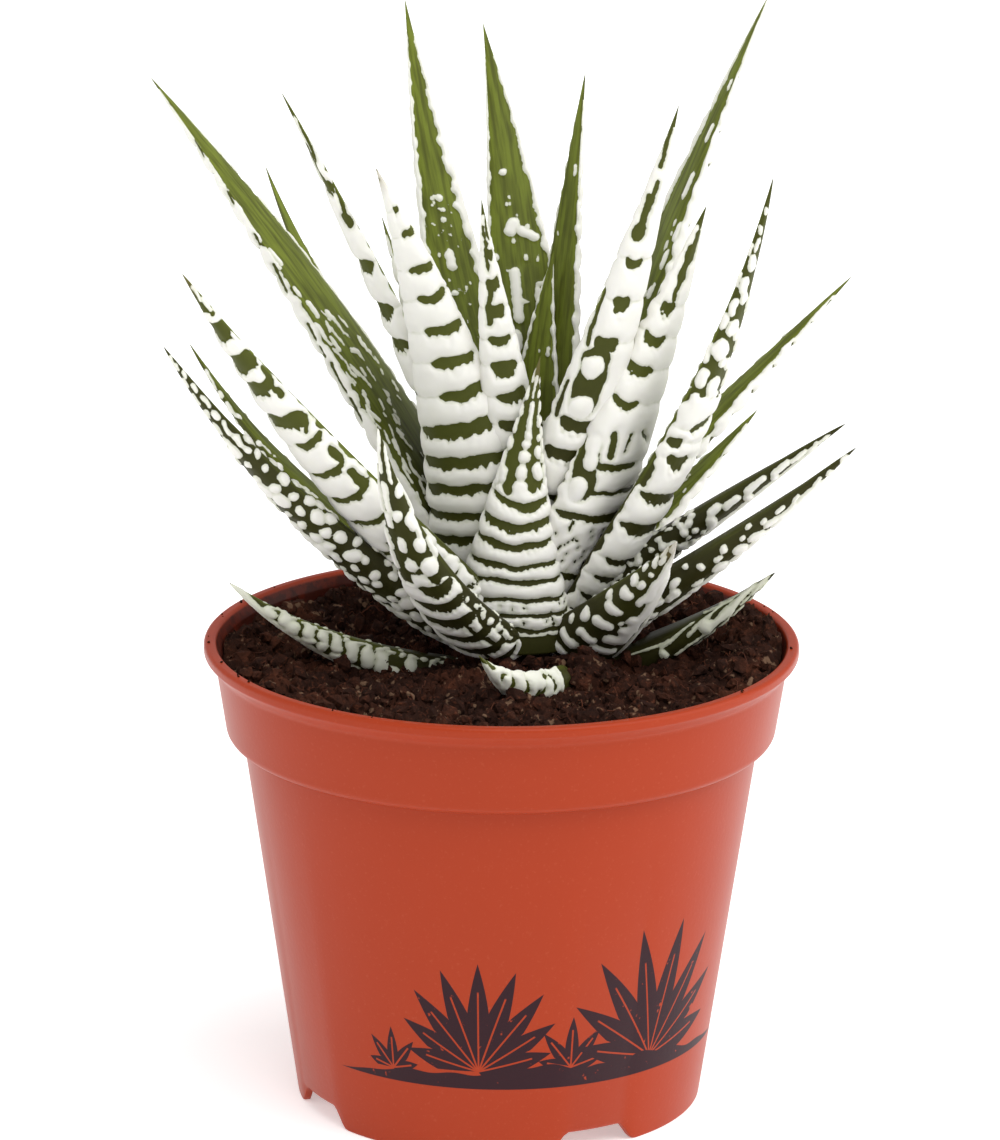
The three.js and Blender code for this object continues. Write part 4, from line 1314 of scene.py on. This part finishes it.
def anywhere(rng, radius):
    """An even random place in a disc."""
    out = radius * math.sqrt(rng.random())
    angle = rng.uniform(0.0, 2 * math.pi)
    return out * math.cos(angle), out * math.sin(angle)


LIP_CRUMB = 110                         # of so many crumbs, one lies on the pot's lip
LIP_SIDES = (2.3, 4.3), (-0.7, 1.2)     # where, at its left and right, in radians


def crumb_piece(count, material):
    """Loose crumbs on the soil, and a few on the pot's lip."""
    rng = np.random.default_rng(7)
    bm = bmesh.new()
    for index in range(count):
        size = 0.24 + 1.25 * rng.random() ** 3
        x, y = anywhere(rng, SOIL_RADIUS - 0.5)
        z = crumbly(x, y) + 0.25 * size
        if index % LIP_CRUMB == 0:
            left, right = LIP_SIDES
            angle = rng.uniform(*(left if rng.random() < 0.6 else right))
            out = LIP_RADIUS - rng.uniform(0.6, 1.2)
            size = rng.uniform(0.10, 0.24)
            x, y, z = out * math.cos(angle), out * math.sin(angle), HEIGHT + 0.4 * size
        turn = Euler(rng.uniform(0, 6.28, 3)).to_matrix().to_4x4()
        shape = Matrix.Diagonal((*(size * rng.uniform(0.6, 1.3, 3) * MM), 1.0))
        made = bmesh.ops.create_icosphere(
            bm, subdivisions=1, radius=1.0,
            matrix=Matrix.Translation(Vector((x, y, z)) * MM) @ turn @ shape)
        for vertex in made["verts"]:
            vertex.co += Vector(rng.uniform(-0.28, 0.28, 3)) * size * MM
    finish(bm, "soil_crumbs", material, smooth=False)


def fibre_piece(count, material):
    """Thin curled fibres that lie on the soil."""
    rng = np.random.default_rng(11)
    curve = bpy.data.curves.new("coir", "CURVE")
    curve.dimensions = "3D"
    curve.bevel_depth = 0.07 * MM
    curve.bevel_resolution = 0
    curve.use_fill_caps = True
    for _ in range(count):
        x, y = anywhere(rng, SOIL_RADIUS - 1.5)
        heading = rng.uniform(0, 2 * math.pi)
        curl = rng.uniform(-0.5, 0.5)
        hop = rng.uniform(0.25, 0.7)
        lift = rng.uniform(0.1, 0.6)
        places = []
        for step in range(8):
            if math.hypot(x, y) > SOIL_RADIUS - 0.4:
                break
            z = crumbly(x, y) + 0.1 + lift * math.sin(math.pi * step / 7.0)
            places.append((x * MM, y * MM, z * MM))
            heading += curl + rng.uniform(-0.35, 0.35)
            x, y = x + hop * math.cos(heading), y + hop * math.sin(heading)
        if len(places) < 4:
            continue
        spline = curve.splines.new("POLY")
        spline.points.add(len(places) - 1)
        thick = rng.uniform(0.6, 1.5)
        for point, place in zip(spline.points, places):
            point.co = (*place, 1.0)
            point.radius = thick
    holder = bpy.data.objects.new("coir", curve)
    bm = bmesh.new()
    bm.from_mesh(holder.to_mesh())
    holder.to_mesh_clear()
    bpy.data.objects.remove(holder)
    finish(bm, "soil_fibres", material)


# ---- operators ------------------------------------------------------------------

LENS = 222.3                    # mm, for a sensor that is so high:
SENSOR = 36.0
TARGET = (-0.28, 0.0, 77.79)    # what the camera looks at, in mm
ROLL = 0.0068                   # radians
# The lights that the stage's settings name: from where they shine, and their angle
SUNS = [
    ("key", (0.25, -0.45, 1.0), 0.9),
    ("right", (1.0, -0.15, 0.45), 1.0),
    ("left", (-1.0, -0.2, 0.4), 1.0),
]


class HAWORTHIA_OT_pot(bpy.types.Operator):
    """Make the pot, with its printed design"""

    bl_idname = "haworthia.pot"
    bl_label = "Pot"

    def execute(self, context):
        look = context.scene.haworthia_pot
        plastic = pot_material(look)
        pot_piece(look, plastic)
        floor_piece(plastic)
        return {"FINISHED"}


class HAWORTHIA_OT_soil(bpy.types.Operator):
    """Make the soil, its crumbs and its fibres, and colour the stem"""

    bl_idname = "haworthia.soil"
    bl_label = "Soil"

    def execute(self, context):
        look = context.scene.haworthia_soil
        earth = soil_material(look)
        soil_piece(earth)
        crumb_piece(look.crumbs, earth)
        fibre_piece(look.fibres, fibre_material(look))
        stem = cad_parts["stem"]
        stem.data.materials.clear()
        stem.data.materials.append(stem_material(context.scene.haworthia_leaf))
        return {"FINISHED"}


class HAWORTHIA_OT_leaves(bpy.types.Operator):
    """Make every leaf, with its bands and spots"""

    bl_idname = "haworthia.leaves"
    bl_label = "Leaves"

    def execute(self, context):
        look = context.scene.haworthia_leaf
        material = leaf_material(look)
        for index, leaf in enumerate(LEAVES):
            leaf_piece(f"leaf_{index + 1:02d}", leaf, look, material)
        return {"FINISHED"}


class HAWORTHIA_OT_stage(bpy.types.Operator):
    """Make the floor, the lights and the camera"""

    bl_idname = "haworthia.stage"
    bl_label = "Stage"

    def execute(self, context):
        look = context.scene.haworthia_stage
        bpy.ops.mesh.primitive_plane_add(size=12.0)
        floor = context.object
        floor.name = "floor"
        g = Graph("floor")
        g.set("Base Color", (*look.floor, 1.0))
        g.set("Roughness", 0.9)
        g.set("Emission Color", (1.0, 1.0, 1.0, 1.0))
        g.set("Emission Strength", look.glow)
        floor.data.materials.append(g.material)

        world = bpy.data.worlds.new("studio")
        world.use_nodes = True
        world.node_tree.nodes["Background"].inputs[0].default_value = (1.0, 1.0, 1.0, 1.0)
        world.node_tree.nodes["Background"].inputs[1].default_value = look.surround
        context.scene.world = world
        context.scene.view_settings.view_transform = "Standard"

        for name, towards, angle in SUNS:
            self.sun(name, towards, getattr(look, name), angle)

        lens = bpy.data.cameras.new("camera")
        lens.sensor_fit = "VERTICAL"
        lens.sensor_height = SENSOR
        lens.lens = LENS
        lens.clip_start = 0.05
        camera = bpy.data.objects.new("camera", lens)
        target = Vector(TARGET) * MM
        back = Vector((0.0, -math.cos(look.elevation), math.sin(look.elevation)))
        camera.location = target + back * look.distance
        tilt = Matrix.Rotation(math.pi / 2 - look.elevation, 3, "X")
        roll = Matrix.Rotation(ROLL, 3, "Z")
        camera.rotation_euler = (tilt @ roll).to_euler()
        context.scene.collection.objects.link(camera)
        context.scene.camera = camera
        return {"FINISHED"}

    def sun(self, name, towards, power, angle):
        """An even, soft light from a wide patch of the sky."""
        lamp = bpy.data.lights.new(name, "SUN")
        lamp.energy = power
        lamp.angle = angle
        made = bpy.data.objects.new(name, lamp)
        made.rotation_euler = Vector(towards).to_track_quat("Z", "Y").to_euler()
        bpy.context.scene.collection.objects.link(made)


class HAWORTHIA_PT_parts(bpy.types.Panel):
    """Lists what the plant is made of"""

    bl_label = "Potted haworthia"
    bl_idname = "HAWORTHIA_PT_parts"
    bl_space_type = "VIEW_3D"
    bl_region_type = "UI"
    bl_category = "Haworthia"

    def draw(self, context):
        for operator in OPERATORS:
            self.layout.operator(operator.bl_idname)


SETTINGS = {
    "haworthia_leaf": LeafSettings,
    "haworthia_pot": PotSettings,
    "haworthia_soil": SoilSettings,
    "haworthia_stage": StageSettings,
}
OPERATORS = [HAWORTHIA_OT_stage, HAWORTHIA_OT_pot, HAWORTHIA_OT_soil, HAWORTHIA_OT_leaves]
CLASSES = [*SETTINGS.values(), *OPERATORS, HAWORTHIA_PT_parts]


def register():
    for cls in CLASSES:
        bpy.utils.register_class(cls)
    for name, group in SETTINGS.items():
        setattr(bpy.types.Scene, name, PointerProperty(type=group))


def unregister():
    for name in SETTINGS:
        delattr(bpy.types.Scene, name)
    for cls in reversed(CLASSES):
        bpy.utils.unregister_class(cls)


def main():
    register()
    bpy.ops.haworthia.stage()
    bpy.ops.haworthia.pot()
    bpy.ops.haworthia.soil()
    bpy.ops.haworthia.leaves()


if __name__ == "__main__":
    main()
